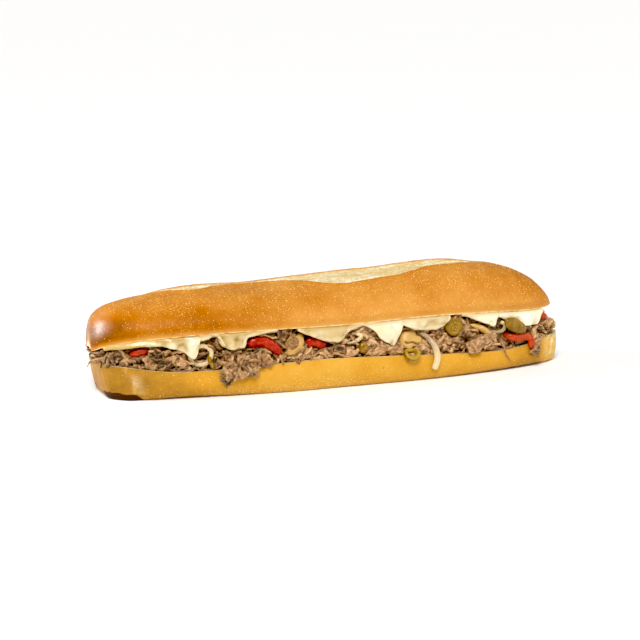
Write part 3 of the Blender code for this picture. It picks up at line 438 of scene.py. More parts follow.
def bar(path, outward, width, thickness, closed, sides=18, power=0.75, curve=0.0, end=1.0):
    """Points, faces and the place across and out of a bar with a rounded section along a path."""
    tangent = np.roll(path, -1, axis=0) - np.roll(path, 1, axis=0) if closed else np.gradient(path, axis=0)
    tangent = unit(tangent)
    cross = unit(np.cross(tangent, outward))
    facing = np.cross(cross, tangent)
    angle = 2 * math.pi * (np.arange(sides) + 0.5) / sides
    a, b = np.cos(angle), np.sin(angle)
    a, b = np.sign(a) * np.abs(a) ** power, np.sign(b) * np.abs(b) ** power
    size = np.ones(len(path))
    if not closed:
        run = np.concatenate([[0], np.cumsum(np.linalg.norm(np.diff(path, axis=0), axis=1))])
        share = np.clip(np.minimum(run, run[-1] - run) / (end * thickness), 0, 1)
        size = np.sqrt(np.maximum(1 - (1 - share) ** 2, 0.03))
    width = np.broadcast_to(width, len(path))
    thick = np.broadcast_to(thickness, len(path))
    out = b[None] * (thick * size)[:, None] / 2 - curve * (a[None] ** 2) * width[:, None] / 2
    rings = (path[:, None] + cross[:, None] * (a[None] * (width * size)[:, None] / 2)[..., None]
             + facing[:, None] * out[..., None])
    across = np.broadcast_to(a, rings.shape[:2])
    outer = np.broadcast_to(b, rings.shape[:2])
    count = len(path)
    index = np.arange(count * sides).reshape(count, sides)
    here, there = index, np.roll(index, -1, axis=1)
    if closed:
        far, far_there = np.roll(here, -1, axis=0), np.roll(there, -1, axis=0)
        quads = np.stack([here, far, far_there, there], axis=-1).reshape(-1, 4)
        return rings.reshape(-1, 3), quads.tolist(), across.ravel(), outer.ravel()
    points, faces = loft(rings, path[0], path[-1])
    return (points, faces, np.append(across.ravel(), (0, 0)), np.append(outer.ravel(), (0, 0)))


def outward_faces(points, faces):
    """The faces, turned round where the closed skin would face inwards."""
    points = np.asarray(points)
    volume = 0.0
    for face in faces:
        for second, third in zip(face[1:], face[2:]):
            volume += float(points[face[0]] @ np.cross(points[second], points[third]))
    return faces if volume > 0 else [tuple(reversed(face)) for face in faces]


def turn_and_place(points, turn, centre, side):
    """Turns points by degrees about X, Y and Z, and moves them to a centre as (x, outset, z)."""
    matrix = np.array(Euler([math.radians(angle) for angle in turn]).to_matrix())
    return points @ matrix.T + to_front(*[float(value) for value in centre], side=side)


def add_piece(name, points, faces, finish, nodes=(), attributes=None, sharp=None):
    """Makes a mesh of points in millimetres, at the origin, riding on the sandwich."""
    mesh = bpy.data.meshes.new(name)
    mesh.from_pydata((np.asarray(points, float) * MM).tolist(), [], [tuple(face) for face in faces])
    for key, values in (attributes or {}).items():
        layer = mesh.attributes.new(key, "FLOAT", "POINT")
        layer.data.foreach_set("value", np.asarray(values, np.float32).ravel())
    mesh.shade_smooth()
    if sharp:
        mesh.set_sharp_from_angle(angle=math.radians(sharp))
    mesh.materials.append(finish)
    obj = bpy.data.objects.new(name, mesh)
    bpy.context.scene.collection.objects.link(obj)
    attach(obj, "root")
    if nodes:
        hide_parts(*nodes)
    return obj


def srgb(red, green, blue):
    """A colour seen as 0 to 255 on a screen, in linear light."""
    return tuple(((v / 255 + 0.055) / 1.055) ** 2.4 if v > 10 else v / 3294.6 for v in (red, green, blue))


class Finish:
    """Builds a material's nodes round its Principled shader."""

    def __init__(self, name):
        self.material = bpy.data.materials.new(name)
        self.material.use_nodes = True
        self.tree = self.material.node_tree
        self.shader = self.tree.nodes["Principled BSDF"]
        self.place = self.tree.nodes.new("ShaderNodeTexCoord").outputs["Object"]

    def put(self, socket, value):
        if isinstance(value, bpy.types.NodeSocket):
            self.tree.links.new(value, socket)
        elif isinstance(value, tuple) and len(value) == 3 and socket.type == "RGBA":
            socket.default_value = (*value, 1.0)
        else:
            socket.default_value = value

    def node(self, kind, inputs, **settings):
        made = self.tree.nodes.new(kind)
        for key, value in settings.items():
            setattr(made, key, value)
        for key, value in inputs.items():
            self.put(made.inputs[key], value)
        return made

    def shade(self, **values):
        for key, value in values.items():
            self.put(self.shader.inputs[key.replace("_", " ")], value)

    def attribute(self, name):
        return self.node("ShaderNodeAttribute", {}, attribute_name=name).outputs["Fac"]

    def spots(self, *names):
        """A texture place made of the mesh's own attributes."""
        pieces = {axis: self.attribute(name) for axis, name in zip("XYZ", names)}
        return self.node("ShaderNodeCombineXYZ", pieces).outputs[0]

    def noise(self, size, detail=2.0, roughness=0.5, stretch=(1, 1, 1), place=None):
        """Noise with features of this size in metres, drawn out by stretch."""
        scale = tuple(1 / (size * share) for share in stretch)
        moved = self.node("ShaderNodeMapping", {"Vector": place or self.place, "Scale": scale}).outputs[0]
        made = self.node("ShaderNodeTexNoise", {"Vector": moved, "Scale": 1.0, "Detail": detail,
                                                "Roughness": roughness})
        return made.outputs["Fac"]

    def cells(self, size, feature="F1", output="Distance", randomness=1.0):
        made = self.node("ShaderNodeTexVoronoi", {"Vector": self.place, "Scale": 1 / size,
                                                  "Randomness": randomness}, feature=feature)
        return made.outputs[output]

    def math(self, operation, first, second=0.0, clamp=False):
        return self.node("ShaderNodeMath", {0: first, 1: second}, operation=operation,
                         use_clamp=clamp).outputs[0]

    def spread(self, value, low, high, to_low=0.0, to_high=1.0):
        made = self.node("ShaderNodeMapRange", {"Value": value, "From Min": low, "From Max": high,
                                                "To Min": to_low, "To Max": to_high})
        return made.outputs[0]

    def ramp(self, value, stops):
        made = self.node("ShaderNodeValToRGB", {"Fac": value})
        scale = made.color_ramp
        while len(scale.elements) < len(stops):
            scale.elements.new(0.5)
        for element, (position, colour) in zip(scale.elements, stops):
            element.position = position
            element.color = (*colour, 1.0)
        return made.outputs[0]

    def mix(self, share, first, second, blend="MIX"):
        made = self.node("ShaderNodeMix", {}, data_type="RGBA", blend_type=blend)
        self.put(made.inputs[0], share)
        self.put(made.inputs[6], first)
        self.put(made.inputs[7], second)
        return made.outputs[2]

    def bump(self, height, distance, strength=1.0, normal=None):
        inputs = {"Height": height, "Distance": distance, "Strength": strength}
        if normal:
            inputs["Normal"] = normal
        return self.node("ShaderNodeBump", inputs).outputs[0]


def scaled(colour, share):
    return tuple(min(1.0, value * share) for value in colour)


def mixed(first, second, share):
    return tuple(a + (b - a) * share for a, b in zip(first, second))


def crust_finish(name, light, plain, dark, burnt, pale):
    """Baked crust: its browning (with some painted shade and painted light), pale split and cut crumb come from the
    mesh's attributes.
    """
    made = Finish(name)
    broad, mottle, fine = made.noise(0.03, 3), made.noise(0.007, 3, 0.6), made.noise(0.0016, 3, 0.65)
    level = made.math("ADD", made.attribute("bake"), made.spread(broad, 0.3, 0.7, -0.13, 0.13))
    level = made.math("ADD", level, made.spread(mottle, 0.3, 0.7, -0.06, 0.06))
    level = made.math("ADD", level, made.spread(fine, 0.3, 0.7, -0.05, 0.05))
    crust = made.ramp(level, ((0.0, light), (0.42, plain), (0.80, dark), (0.94, scaled(dark, 0.7)), (1.0, burnt)))
    streak = made.noise(0.0018, 4, 0.6, stretch=(9, 1, 1))
    cloud = made.noise(0.009, 3, 0.6, stretch=(3, 1, 1))
    streaks = made.math("ADD", made.spread(streak, 0.3, 0.7), made.spread(cloud, 0.35, 0.65, -0.3, 0.3))
    blotch = made.noise(0.0022, 4, 0.7)
    streaks = made.math("ADD", made.math("MULTIPLY", streaks, 0.5), made.spread(blotch, 0.3, 0.7, -0.1, 0.6))
    split = made.ramp(streaks, ((0.05, mixed(pale, plain, 0.45)), (0.42, pale),
                                (0.85, mixed(pale, (1, 1, 0.9), 0.5))))
    pores = made.noise(0.0014, 4, 0.7)
    crumb = made.ramp(pores, ((0.3, mixed(pale, (1, 0.7, 0.35), 0.3)), (0.6, mixed(pale, (1, 0.9, 0.65), 0.65))))
    colour = made.mix(made.attribute("pale"), crust, split)
    colour = made.mix(made.attribute("crumb"), colour, crumb)
    speck = made.spread(made.cells(0.011), 0.045, 0.03)
    colour = made.mix(made.math("MULTIPLY", speck, 0.75), colour, (0.10, 0.035, 0.008))
    gloss = made.attribute("gloss")
    made.shade(Base_Color=colour, Specular_IOR_Level=made.spread(gloss, 0, 1, 0.1, 1.0), Subsurface_Weight=0.06,
               Subsurface_Radius=(0.004, 0.002, 0.001), Subsurface_Scale=0.5)
    rough = made.math("SUBTRACT", made.spread(fine, 0.3, 0.7, 0.38, 0.50), made.math("MULTIPLY", gloss, 0.08))
    rough = made.math("ADD", rough, made.math("MULTIPLY", made.attribute("pale"), 0.3))
    rough = made.math("ADD", rough, made.math("MULTIPLY", made.attribute("crumb"), 0.4), clamp=True)
    made.shade(Roughness=rough)
    skin = made.bump(fine, 0.00022, 0.6)
    skin = made.bump(made.noise(0.0005, 2, 0.6), 0.00007, 0.5, skin)
    lines = made.math("MULTIPLY", streak, made.attribute("pale"))
    skin = made.bump(lines, 0.0007, 0.7, skin)
    holes = made.math("MULTIPLY", pores, made.attribute("crumb"))
    made.shade(Normal=made.bump(holes, 0.0012, 0.8, skin))
    return made.material


def grain_finish():
    """Pale golden grains of cornmeal."""
    made = Finish("cornmeal")
    tint = made.noise(0.0012, 1)
    colour = made.ramp(tint, ((0.3, srgb(226, 172, 74)), (0.6, srgb(252, 222, 150))))
    made.shade(Base_Color=colour, Roughness=0.4, Subsurface_Weight=0.1, Subsurface_Scale=0.001)
    return made.material


def cheese_finish(colour):
    """Soft melted cheese: a little see-through at its thin edges, with a faint oily sheen."""
    made = Finish("white_cheese")
    cloud, fine = made.noise(0.008, 3, 0.5), made.noise(0.0012, 2, 0.5)
    body = made.ramp(cloud, ((0.3, scaled(colour, 0.93)), (0.7, mixed(colour, (1, 1, 1), 0.18))))
    body = made.mix(made.attribute("fresh"), body, mixed(colour, (0.96, 0.93, 0.72), 0.85))
    # Painted shade: the folds' hollows, the band under the rim and the shaded slices turn a darker yellow brown
    body = made.mix(made.attribute("hollow"), body, mixed(colour, (0.40, 0.24, 0.04), 0.75))
    made.shade(Base_Color=body, Subsurface_Weight=0.12, Subsurface_Radius=(1.0, 0.7, 0.3),
               Subsurface_Scale=0.0010, Specular_IOR_Level=0.5, Coat_Weight=0.25, Coat_Roughness=0.14,
               Roughness=made.spread(fine, 0.3, 0.7, 0.28, 0.4))
    skin = made.bump(made.noise(0.005, 2, 0.5), 0.0018, 0.4)
    made.shade(Normal=made.bump(fine, 0.0001, 0.4, skin))
    return made.material


def steak_finish(colour):
    """Cooked shavings: grey brown with paler torn edges, the muscle's fine lines, and painted light on their knobs
    with painted shade between them.
    """
    made = Finish("shaved_steak")
    lines = made.noise(0.0007, 3, 0.6, stretch=(1, 7, 1), place=made.spots("across", "run", "tone"))
    patch, fine = made.noise(0.0045, 4, 0.6), made.noise(0.0008, 3, 0.65)
    level = made.math("ADD", made.attribute("tone"), made.spread(patch, 0.3, 0.7, -0.28, 0.28))
    level = made.math("ADD", level, made.spread(lines, 0.3, 0.7, -0.16, 0.16))
    level = made.math("ADD", level, made.spread(fine, 0.3, 0.7, -0.10, 0.10))
    # The knobs both bump the surface and paint it: painted light on their tops, painted shade in the gaps
    knob_bumps_and_painted_light = made.noise(0.0021, 2, 0.5)
    level = made.math("ADD", level, made.spread(knob_bumps_and_painted_light, 0.35, 0.65, -0.18, 0.18))
    grey, pale = mixed(colour, (0.38, 0.205, 0.095), 0.6), mixed(colour, (0.71, 0.45, 0.22), 0.75)
    body = made.ramp(level, ((0.08, scaled(colour, 0.14)), (0.34, scaled(colour, 0.68)), (0.6, grey), (0.95, pale)))
    body = made.mix(made.math("MULTIPLY", made.attribute("edge"), 0.35), body, pale)
    made.shade(Base_Color=body, Specular_IOR_Level=0.38, Subsurface_Weight=0.08, Subsurface_Scale=0.0012,
               Subsurface_Radius=(1.0, 0.5, 0.3), Roughness=made.spread(fine, 0.3, 0.7, 0.36, 0.6))
    skin = made.bump(lines, 0.0005, 0.7)
    skin = made.bump(knob_bumps_and_painted_light, 0.0012, 0.6, made.bump(patch, 0.0012, 0.5, skin))
    made.shade(Normal=made.bump(fine, 0.0003, 0.7, skin))
    return made.material


def core_finish(colour):
    """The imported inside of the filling, in shadow behind the shavings."""
    made = Finish("packed_steak")
    patch, fine = made.noise(0.004, 4, 0.65), made.noise(0.001, 3, 0.65)
    body = made.ramp(patch, ((0.35, scaled(colour, 0.4)), (0.65, colour)))
    made.shade(Base_Color=body, Roughness=0.6)
    made.shade(Normal=made.bump(fine, 0.0008, 0.8, made.bump(patch, 0.002, 0.8)))
    return made.material


def pepper_finish(name, skin, flesh, coat):
    """Cooked pepper: glossy skin outside, duller flesh inside, and flesh colour mixed into the skin of some pieces as
    painted light.
    """
    made = Finish(name)
    cloud, fine = made.noise(0.003, 3, 0.55), made.noise(0.0006, 2, 0.5)
    outer = made.ramp(cloud, ((0.28, scaled(skin, 0.55)), (0.5, skin), (0.72, mixed(skin, flesh, 0.5))))
    inner = made.ramp(cloud, ((0.3, scaled(flesh, 0.8)), (0.7, flesh)))
    colour = made.mix(made.attribute("flesh"), outer, inner)
    made.shade(Base_Color=colour, Specular_IOR_Level=0.25, Subsurface_Weight=0.12, Subsurface_Scale=0.0012,
               Subsurface_Radius=(1.0, 0.4, 0.15), Coat_Weight=coat, Coat_Roughness=0.08,
               Roughness=made.spread(cloud, 0.3, 0.7, 0.16, 0.34))
    skin_bump = made.bump(cloud, 0.0006, 0.5)
    made.shade(Normal=made.bump(fine, 0.00012, 0.5, skin_bump))
    return made.material


def onion_finish(colour):
    """Cooked onion: pale, wet and a little see-through, with lengthwise veins."""
    made = Finish("cooked_onion")
    veins = made.noise(0.0005, 2, 0.5, stretch=(1, 30, 1), place=made.spots("across", "run", "tone"))
    cloud = made.noise(0.004, 2, 0.5)
    body = made.ramp(veins, ((0.3, scaled(colour, 0.78)), (0.6, colour), (0.8, mixed(colour, (1, 1, 1), 0.3))))
    body = made.mix(made.spread(cloud, 0.4, 0.7, 0, 0.4), body, scaled(mixed(colour, (0.6, 0.4, 0.1), 0.4), 0.9))
    body = made.mix(made.attribute("wet"), body, scaled(mixed(colour, (0.40, 0.26, 0.14), 0.8), 0.8))
    made.shade(Base_Color=body, Specular_IOR_Level=0.6, Subsurface_Weight=0.4, Subsurface_Scale=0.0018,
               Subsurface_Radius=(1.0, 0.8, 0.45), Roughness=made.spread(cloud, 0.3, 0.7, 0.18, 0.32))
    made.shade(Normal=made.bump(veins, 0.00025, 0.6))
    return made.material


def mushroom_finish(colour):
    """Cooked mushroom: tan flesh, with brown gills where the mesh says so, and a painted shade where the mesh darkens
    a whole slice.
    """
    made = Finish("cooked_mushroom")
    cloud, fine = made.noise(0.004, 3, 0.55), made.noise(0.0009, 3, 0.6)
    body = made.ramp(cloud, ((0.3, scaled(colour, 0.86)), (0.55, colour),
                             (0.8, mixed(colour, (1, 0.9, 0.7), 0.35))))
    gills = made.ramp(fine, ((0.35, srgb(70, 38, 14)), (0.65, srgb(150, 98, 48))))
    body = made.mix(made.attribute("gill"), body, gills)
    made.shade(Base_Color=body, Specular_IOR_Level=0.5, Subsurface_Weight=0.15, Subsurface_Scale=0.0014,
               Subsurface_Radius=(1.0, 0.6, 0.3), Roughness=made.spread(fine, 0.3, 0.7, 0.26, 0.42))
    made.shade(Normal=made.bump(fine, 0.00025, 0.6, made.bump(cloud, 0.0008, 0.4)))
    return made.material


def bread_stations(left, right):
    middle, half = (left + right) / 2, (right - left) / 2
    steps = np.arange(1, BREAD_STATIONS) / BREAD_STATIONS - 0.5
    even = 2 * steps
    ends = np.sin(math.pi * steps)
    return middle + half * (0.55 * ends + 0.45 * even)


def top_rings(x):
    """Sections of the top half and what its skin shows there."""
    x = x[:, None]
    angle = math.pi * np.arange(DOME_STEPS + 1)[None] / DOME_STEPS
    width, rim = top_half_width(x), along(TOP_RIM, x)
    height = np.maximum(along(RIDGE, x) - rim, 0.6)
    height = np.where(x < 0, height * shrink(x, TOP_END_LEFT, NOSE_POWER), height)
    side, rise = -np.cos(angle), np.maximum(np.sin(angle), 0)
    y = width * np.sign(side) * np.abs(side) ** (2 / DOME_POWER)
    z = rim + height * rise ** (2 / DOME_POWER)
    tuck = RIM_TUCK * np.minimum(1, width / 10) * (1 - ease(0, 6, z - rim))
    y = y - np.sign(y) * np.minimum(tuck, np.abs(y))
    fade = ease(0, 12, z - rim) * np.minimum(1, width / 12)
    spots = np.stack(np.broadcast_arrays(x, y, z), axis=-1)
    near, far = score_lips(x[:, 0])
    near, far, opening = near[:, None], far[:, None], score_opening(x)
    inside = ease(near - 0.4, near + 0.7, y) * (1 - ease(far - 0.7, far + 0.4, y)) * (opening > 0.02)
    lips = np.exp(-(((y - near + 1.0) / LIP_WIDTH) ** 2)) + np.exp(-(((y - far - 1.0) / LIP_WIDTH) ** 2))
    rope = ripple(spots, np.array((16.0, 1.5, 40.0)), 5) + 0.5 * ripple(spots, np.array((5.0, 1.2, 40.0)), 6)
    relief = opening * (LIP_HEIGHT * lips - (SCORE_DEPTH + 0.25 * rope) * inside)
    wave = CRUST_WAVE * ripple(spots, np.array(CRUST_WAVE_SPREAD))
    wave = wave + 0.16 * ripple(spots, 6.5, 7) + 0.07 * ripple(spots, 2.6, 8)
    z = z + fade * (relief + wave)
    dome = np.stack(np.broadcast_arrays(x, y, z), axis=-1)
    share = (np.arange(1, CUT_STEPS + 1) / (CUT_STEPS + 1))[None]
    y_cut = dome[:, -1:, 1] + (dome[:, :1, 1] - dome[:, -1:, 1]) * share
    z_cut = top_cut(x, y_cut)
    cut = np.stack(np.broadcast_arrays(x, y_cut, z_cut), axis=-1)
    rough = 0.35 * ripple(cut, 4.0, 9) + 0.2 * ripple(cut, 1.6, 10)
    cut[..., 2] += rough * ease(0.0, 0.05, share) * (1 - ease(0.95, 1.0, share)) * np.minimum(1, width / 10)
    above = z - rim
    low = 1 - ease(1, 16, above)
    ragged = 0.35 * ripple(spots, 3.0, 11)
    left = 1 - ease(-90, -10, x)
    belt = ease(1, 5, above) * (1 - ease(10, 20, above))
    bake = 0.49 - 0.20 * low * (1 - left) + 0.31 * belt * left + 0.04 * left * (1 - ease(19, 27, above))
    # Darker crust low on the left nose: browned crust, partly painted shade on the nose's shaded side
    bake = bake + 0.14 * (1 - ease(-143, -120, x)) * (1 - ease(9, 24, above))
    bake = bake + 0.05 * ease(20, 90, x) + 0.14 * ease(100, 140, x)
    bake = bake - 0.20 * (1 - ease(0.4, 3.0, above + ragged)) + 0.10 * lips * opening * (1 - inside)
    pale = inside * ease(0.02, 0.5, opening)
    crumb = 1 - ease(-0.15, 0.25, above + ragged)
    grain = ease(1.0, 4.0, above) * (0.45 + 0.55 * ease(-140, -110, x)) * (1 - 0.6 * pale)
    grain = grain * (0.55 + 0.9 * ease(-0.2, 0.5, ripple(spots, 14.0, 12)))
    fill = np.zeros(cut.shape[:2])
    gloss = (1 - ease(-148, -141, x)) * ease(5, 12, above)
    values = {"bake": np.concatenate([bake, fill + 0.3], axis=1),
              "gloss": np.concatenate([gloss, fill], axis=1),
              "pale": np.concatenate([pale, fill], axis=1),
              "crumb": np.concatenate([crumb, fill + 1], axis=1),
              "grain": np.concatenate([grain, fill], axis=1)}
    return np.concatenate([dome, cut], axis=1), values


def bottom_rings(x):
    """Sections of the bottom half and what its skin shows there."""
    x = x[:, None]
    width, rim = bottom_half_width(x), along(BOTTOM_RIM, x)
    lift = np.maximum(0, along(UNDERSIDE, x))
    base = width * along(BASE_SHARE, x)
    corner = lift + (rim - lift) * CORNER_SHARE
    step = np.linspace(0, 1, SIDE_STEPS)[None]
    upright = np.minimum(step / SIDE_UPRIGHT, 1)
    turn = math.pi / 2 * (1 - np.clip((step - SIDE_UPRIGHT) / (1 - SIDE_UPRIGHT), 0, 1))
    high = step <= SIDE_UPRIGHT
    bulge = SIDE_BULGE * np.minimum(1, width / 12)
    y = np.where(high, width + bulge * np.sin(math.pi / 2 * upright), base + (width + bulge - base) * np.sin(turn))
    z = np.where(high, rim + (corner - rim) * upright, lift + (corner - lift) * (1 - np.cos(turn)))
    foot = np.where(x < 0, ease(-FOOT_START, -FOOT_FULL, -x), 0)
    browned = np.where(x < 0, ease(-FOOT_START + 1, -FOOT_FULL + 4, -x), 0)
    under = 1 - ease(FOOT_HEIGHT - 1.6, FOOT_HEIGHT, z - lift)
    y = y - foot * under * FOOT_INSET * np.minimum(1, width / 14)
    y = np.maximum(y, 0)
    free = ease(0.0, 3.0, z - lift) * ease(0.0, 0.06, step) * np.minimum(1, width / 10)
    sides, values = [], []
    for side in (-1, 1):
        spots = np.stack(np.broadcast_arrays(x, side * y, z), axis=-1)
        crease = np.exp(-(((x + 128 + 0.3 * z) / 9.0) ** 2))
        wrinkle = ripple(spots, np.array((2.4, 30.0, 11.0)), 13) * crease
        end = ease(128, 146, x)
        wrinkle = wrinkle + 0.8 * ripple(spots, np.array((4.6, 5.0, 18.0)), 14) * end
        wrinkle = wrinkle - 2.2 * np.exp(-(((x - 143 - 0.25 * z) / 1.5) ** 2)) * ease(4, 9, z)
        soft = 0.30 * ripple(spots, 12.0, 15) + 0.12 * ripple(spots, 4.0, 16)
        push = free * (0.55 * wrinkle + soft)
        spots[..., 1] += side * push
        reach = (FOOT_HEIGHT + 0.8) * browned - 0.5
        dark = 1 - ease(reach - 0.9, reach + 0.5, z + 1.0 * ripple(spots, np.array((5.0, 3.0, 3.0)), 17))
        dark = dark * ease(0.02, 0.25, browned)
        # A thin band along the base, darkened below: browned crust and painted contact shade
        edge = 1 - ease(0.2, 2.2, z - lift + 0.5 * ripple(spots, 5.0, 18))
        # The last term darkens the left end: painted shade where less light falls on it
        bake = 0.45 + 0.22 * (1 - ease(-125, -75, x)) + 0.14 * (1 - ease(-149, -134, x))
        bake = bake - 0.16 * ease(-90, -30, x) * (1 - ease(70, 120, x))
        # The last term pales the right end: paler crust, partly painted light where the end face is lit from the
        # right
        bake = bake + 0.12 * ease(95, 125, x) * (1 - ease(134, 142, x)) - 0.44 * ease(136, 146, x)
        bake = bake + 0.03 * (1 - ease(0, 3.0, rim - z)) * ease(0.4, 1.4, rim - z) - 0.12 * wrinkle * (wrinkle > 0)
        # The base band's darkening is browned crust plus painted contact shade, strongest towards the right
        bake = bake + (0.08 + 0.45 * ease(40, 95, x)) * edge * (1 - foot) + 0.70 * dark
        band = np.exp(-(((x + 127 + 0.35 * z) / 2.8) ** 2)) * ease(2, 5, z) * (1 - ease(14, 18, z))
        torn = ease(143, 148, x) * ease(rim - 9, rim - 3, z + 2 * ripple(spots, 4.0, 24))
        pale = ease(0.1, 0.6, wrinkle) * (0.25 - 0.2 * end) + 0.25 * band + 0.3 * torn
        pale = np.minimum(1, pale + 0.35 * ease(136, 144, x) * ease(3, 7, z)) * (1 - dark)
        crumb = 1 - ease(-0.05, 0.35, rim - z + 0.3 * ripple(spots, 3.0, 19))
        dense = 3.6 * (1 - ease(2.0, 9.0, z)) * ease(-100, -70, x) * (1 - ease(-10, 40, x))
        grain = (0.3 + dense + 0.5 * (1 - ease(1, 5, z))) * (1 - 0.8 * dark) * (1 - 0.6 * foot)
        grain = grain * (0.25 + 0.75 * ease(-146, -130, x)) * ease(0.5, 2, rim - z)
        sides.append(spots)
        values.append({"bake": bake, "pale": pale, "crumb": crumb, "grain": grain, "gloss": 0 * bake})
    share = (np.arange(1, CUT_STEPS + 1) / (CUT_STEPS + 1))[None]
    y_cut = width * (1 - 2 * share)
    cut = np.stack(np.broadcast_arrays(x, y_cut, bottom_cut(x, y_cut)), axis=-1)
    rough = 0.35 * ripple(cut, 4.0, 20) + 0.2 * ripple(cut, 1.6, 21)
    cut[..., 2] += rough * ease(0, 0.05, share) * (1 - ease(0.95, 1, share)) * np.minimum(1, width / 10)
    flat = np.linspace(-1, 1, BASE_STEPS + 2)[None, 1:-1]
    under_y = np.abs(sides[0][:, -1:, 1]) * flat
    floor = np.stack(np.broadcast_arrays(x, under_y, lift), axis=-1)
    none_cut, none_base = np.zeros(cut.shape[:2]), np.zeros(floor.shape[:2])
    joined = {}
    for key, cut_value, base_value in (("bake", 0.3, 0.85), ("pale", 0, 0), ("crumb", 1, 0), ("grain", 0, 0),
                                       ("gloss", 0, 0)):
        joined[key] = np.concatenate([none_cut + cut_value, values[0][key], none_base + base_value,
                                      values[1][key][:, ::-1]], axis=1)
    rings = np.concatenate([cut, sides[0], floor, sides[1][:, ::-1]], axis=1)
    return rings, joined


def make_bread(name, rings, values, left, right, finish, node):
    """Adds one half of the roll from its sections."""
    tips = [(end, 0.0, float(ring[:, 2].mean())) for ring, end in ((rings[0], left), (rings[-1], right))]
    points, faces = loft(rings, *tips)
    faces = outward_faces(points, faces)
    attributes = {}
    for key, grid in values.items():
        attributes[key] = np.concatenate([grid.ravel(), [grid[0].mean(), grid[-1].mean()]])
    return add_piece(name, points, faces, finish, (node,), attributes, sharp=55)


def grain_tree(material):
    """Geometry nodes that scatter grains over a crust, as thickly as its grain attribute says."""
    tree = bpy.data.node_groups.new("scattered_grains", "GeometryNodeTree")
    face = tree.interface
    face.new_socket("Crust", in_out="INPUT", socket_type="NodeSocketGeometry")
    sockets = {}
    for label, kind in (("Grains per square metre", "NodeSocketFloat"), ("Grain radius", "NodeSocketFloat"),
                        ("Seed", "NodeSocketInt")):
        sockets[label] = face.new_socket(label, in_out="INPUT", socket_type=kind).identifier
    face.new_socket("Grains", in_out="OUTPUT", socket_type="NodeSocketGeometry")
    nodes, links = tree.nodes, tree.links

    def add(kind, **settings):
        made = nodes.new(kind)
        for key, value in settings.items():
            setattr(made, key, value)
        return made

    source, result = add("NodeGroupInput"), add("NodeGroupOutput")
    thickness = add("GeometryNodeInputNamedAttribute", data_type="FLOAT")
    thickness.inputs["Name"].default_value = "grain"
    density = add("ShaderNodeMath", operation="MULTIPLY")
    scatter = add("GeometryNodeDistributePointsOnFaces", distribute_method="RANDOM")
    ball = add("GeometryNodeMeshIcoSphere")
    ball.inputs["Subdivisions"].default_value = 1
    size = add("FunctionNodeRandomValue", data_type="FLOAT_VECTOR")
    size.inputs[0].default_value = (0.3, 0.3, 0.25)
    size.inputs[1].default_value = (1.35, 1.0, 0.7)
    turn = add("FunctionNodeRandomValue", data_type="FLOAT_VECTOR")
    turn.inputs[1].default_value = (6.28, 6.28, 6.28)
    put = add("GeometryNodeInstanceOnPoints")
    real, paint = add("GeometryNodeRealizeInstances"), add("GeometryNodeSetMaterial")
    paint.inputs["Material"].default_value = material
    links.new(source.outputs["Grains per square metre"], density.inputs[0])
    links.new(thickness.outputs["Attribute"], density.inputs[1])
    links.new(source.outputs["Crust"], scatter.inputs["Mesh"])
    links.new(density.outputs[0], scatter.inputs["Density"])
    for made in (scatter, size, turn):
        links.new(source.outputs["Seed"], made.inputs["Seed"])
    links.new(source.outputs["Grain radius"], ball.inputs["Radius"])
    links.new(scatter.outputs["Points"], put.inputs["Points"])
    links.new(ball.outputs["Mesh"], put.inputs["Instance"])
    links.new(turn.outputs[0], put.inputs["Rotation"])
    links.new(size.outputs[0], put.inputs["Scale"])
    links.new(put.outputs[0], real.inputs[0])
    links.new(real.outputs[0], paint.inputs["Geometry"])
    links.new(paint.outputs[0], result.inputs[0])
    return tree, sockets


def scatter_grains(crust, name, tree, sockets, values):
    """Turns the scattered grains on one crust into a plain mesh of their own."""
    made = bpy.data.objects.new(name, crust.data.copy())
    bpy.context.scene.collection.objects.link(made)
    modifier = made.modifiers.new("grains", "NODES")
    modifier.node_group = tree
    for label, value in values.items():
        modifier[sockets[label]] = value
    bpy.context.view_layer.update()
    plain = bpy.data.meshes.new_from_object(made.evaluated_get(bpy.context.evaluated_depsgraph_get()))
    made.modifiers.remove(modifier)
    made.data = plain
    plain.name = name
    plain.shade_smooth()
    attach(made, "root")
    return made


def edge_points(knots, steps):
    """Evenly numbered (x, drop) points along a slice's edge, its corners a little rounded."""
    knots = np.array(knots, float)
    share = np.linspace(0, len(knots) - 1, steps)
    straight = np.stack([np.interp(share, np.arange(len(knots)), knots[:, i]) for i in (0, 1)], axis=1)
    curved = smooth_path(knots, steps)
    return 0.45 * straight + 0.55 * curved


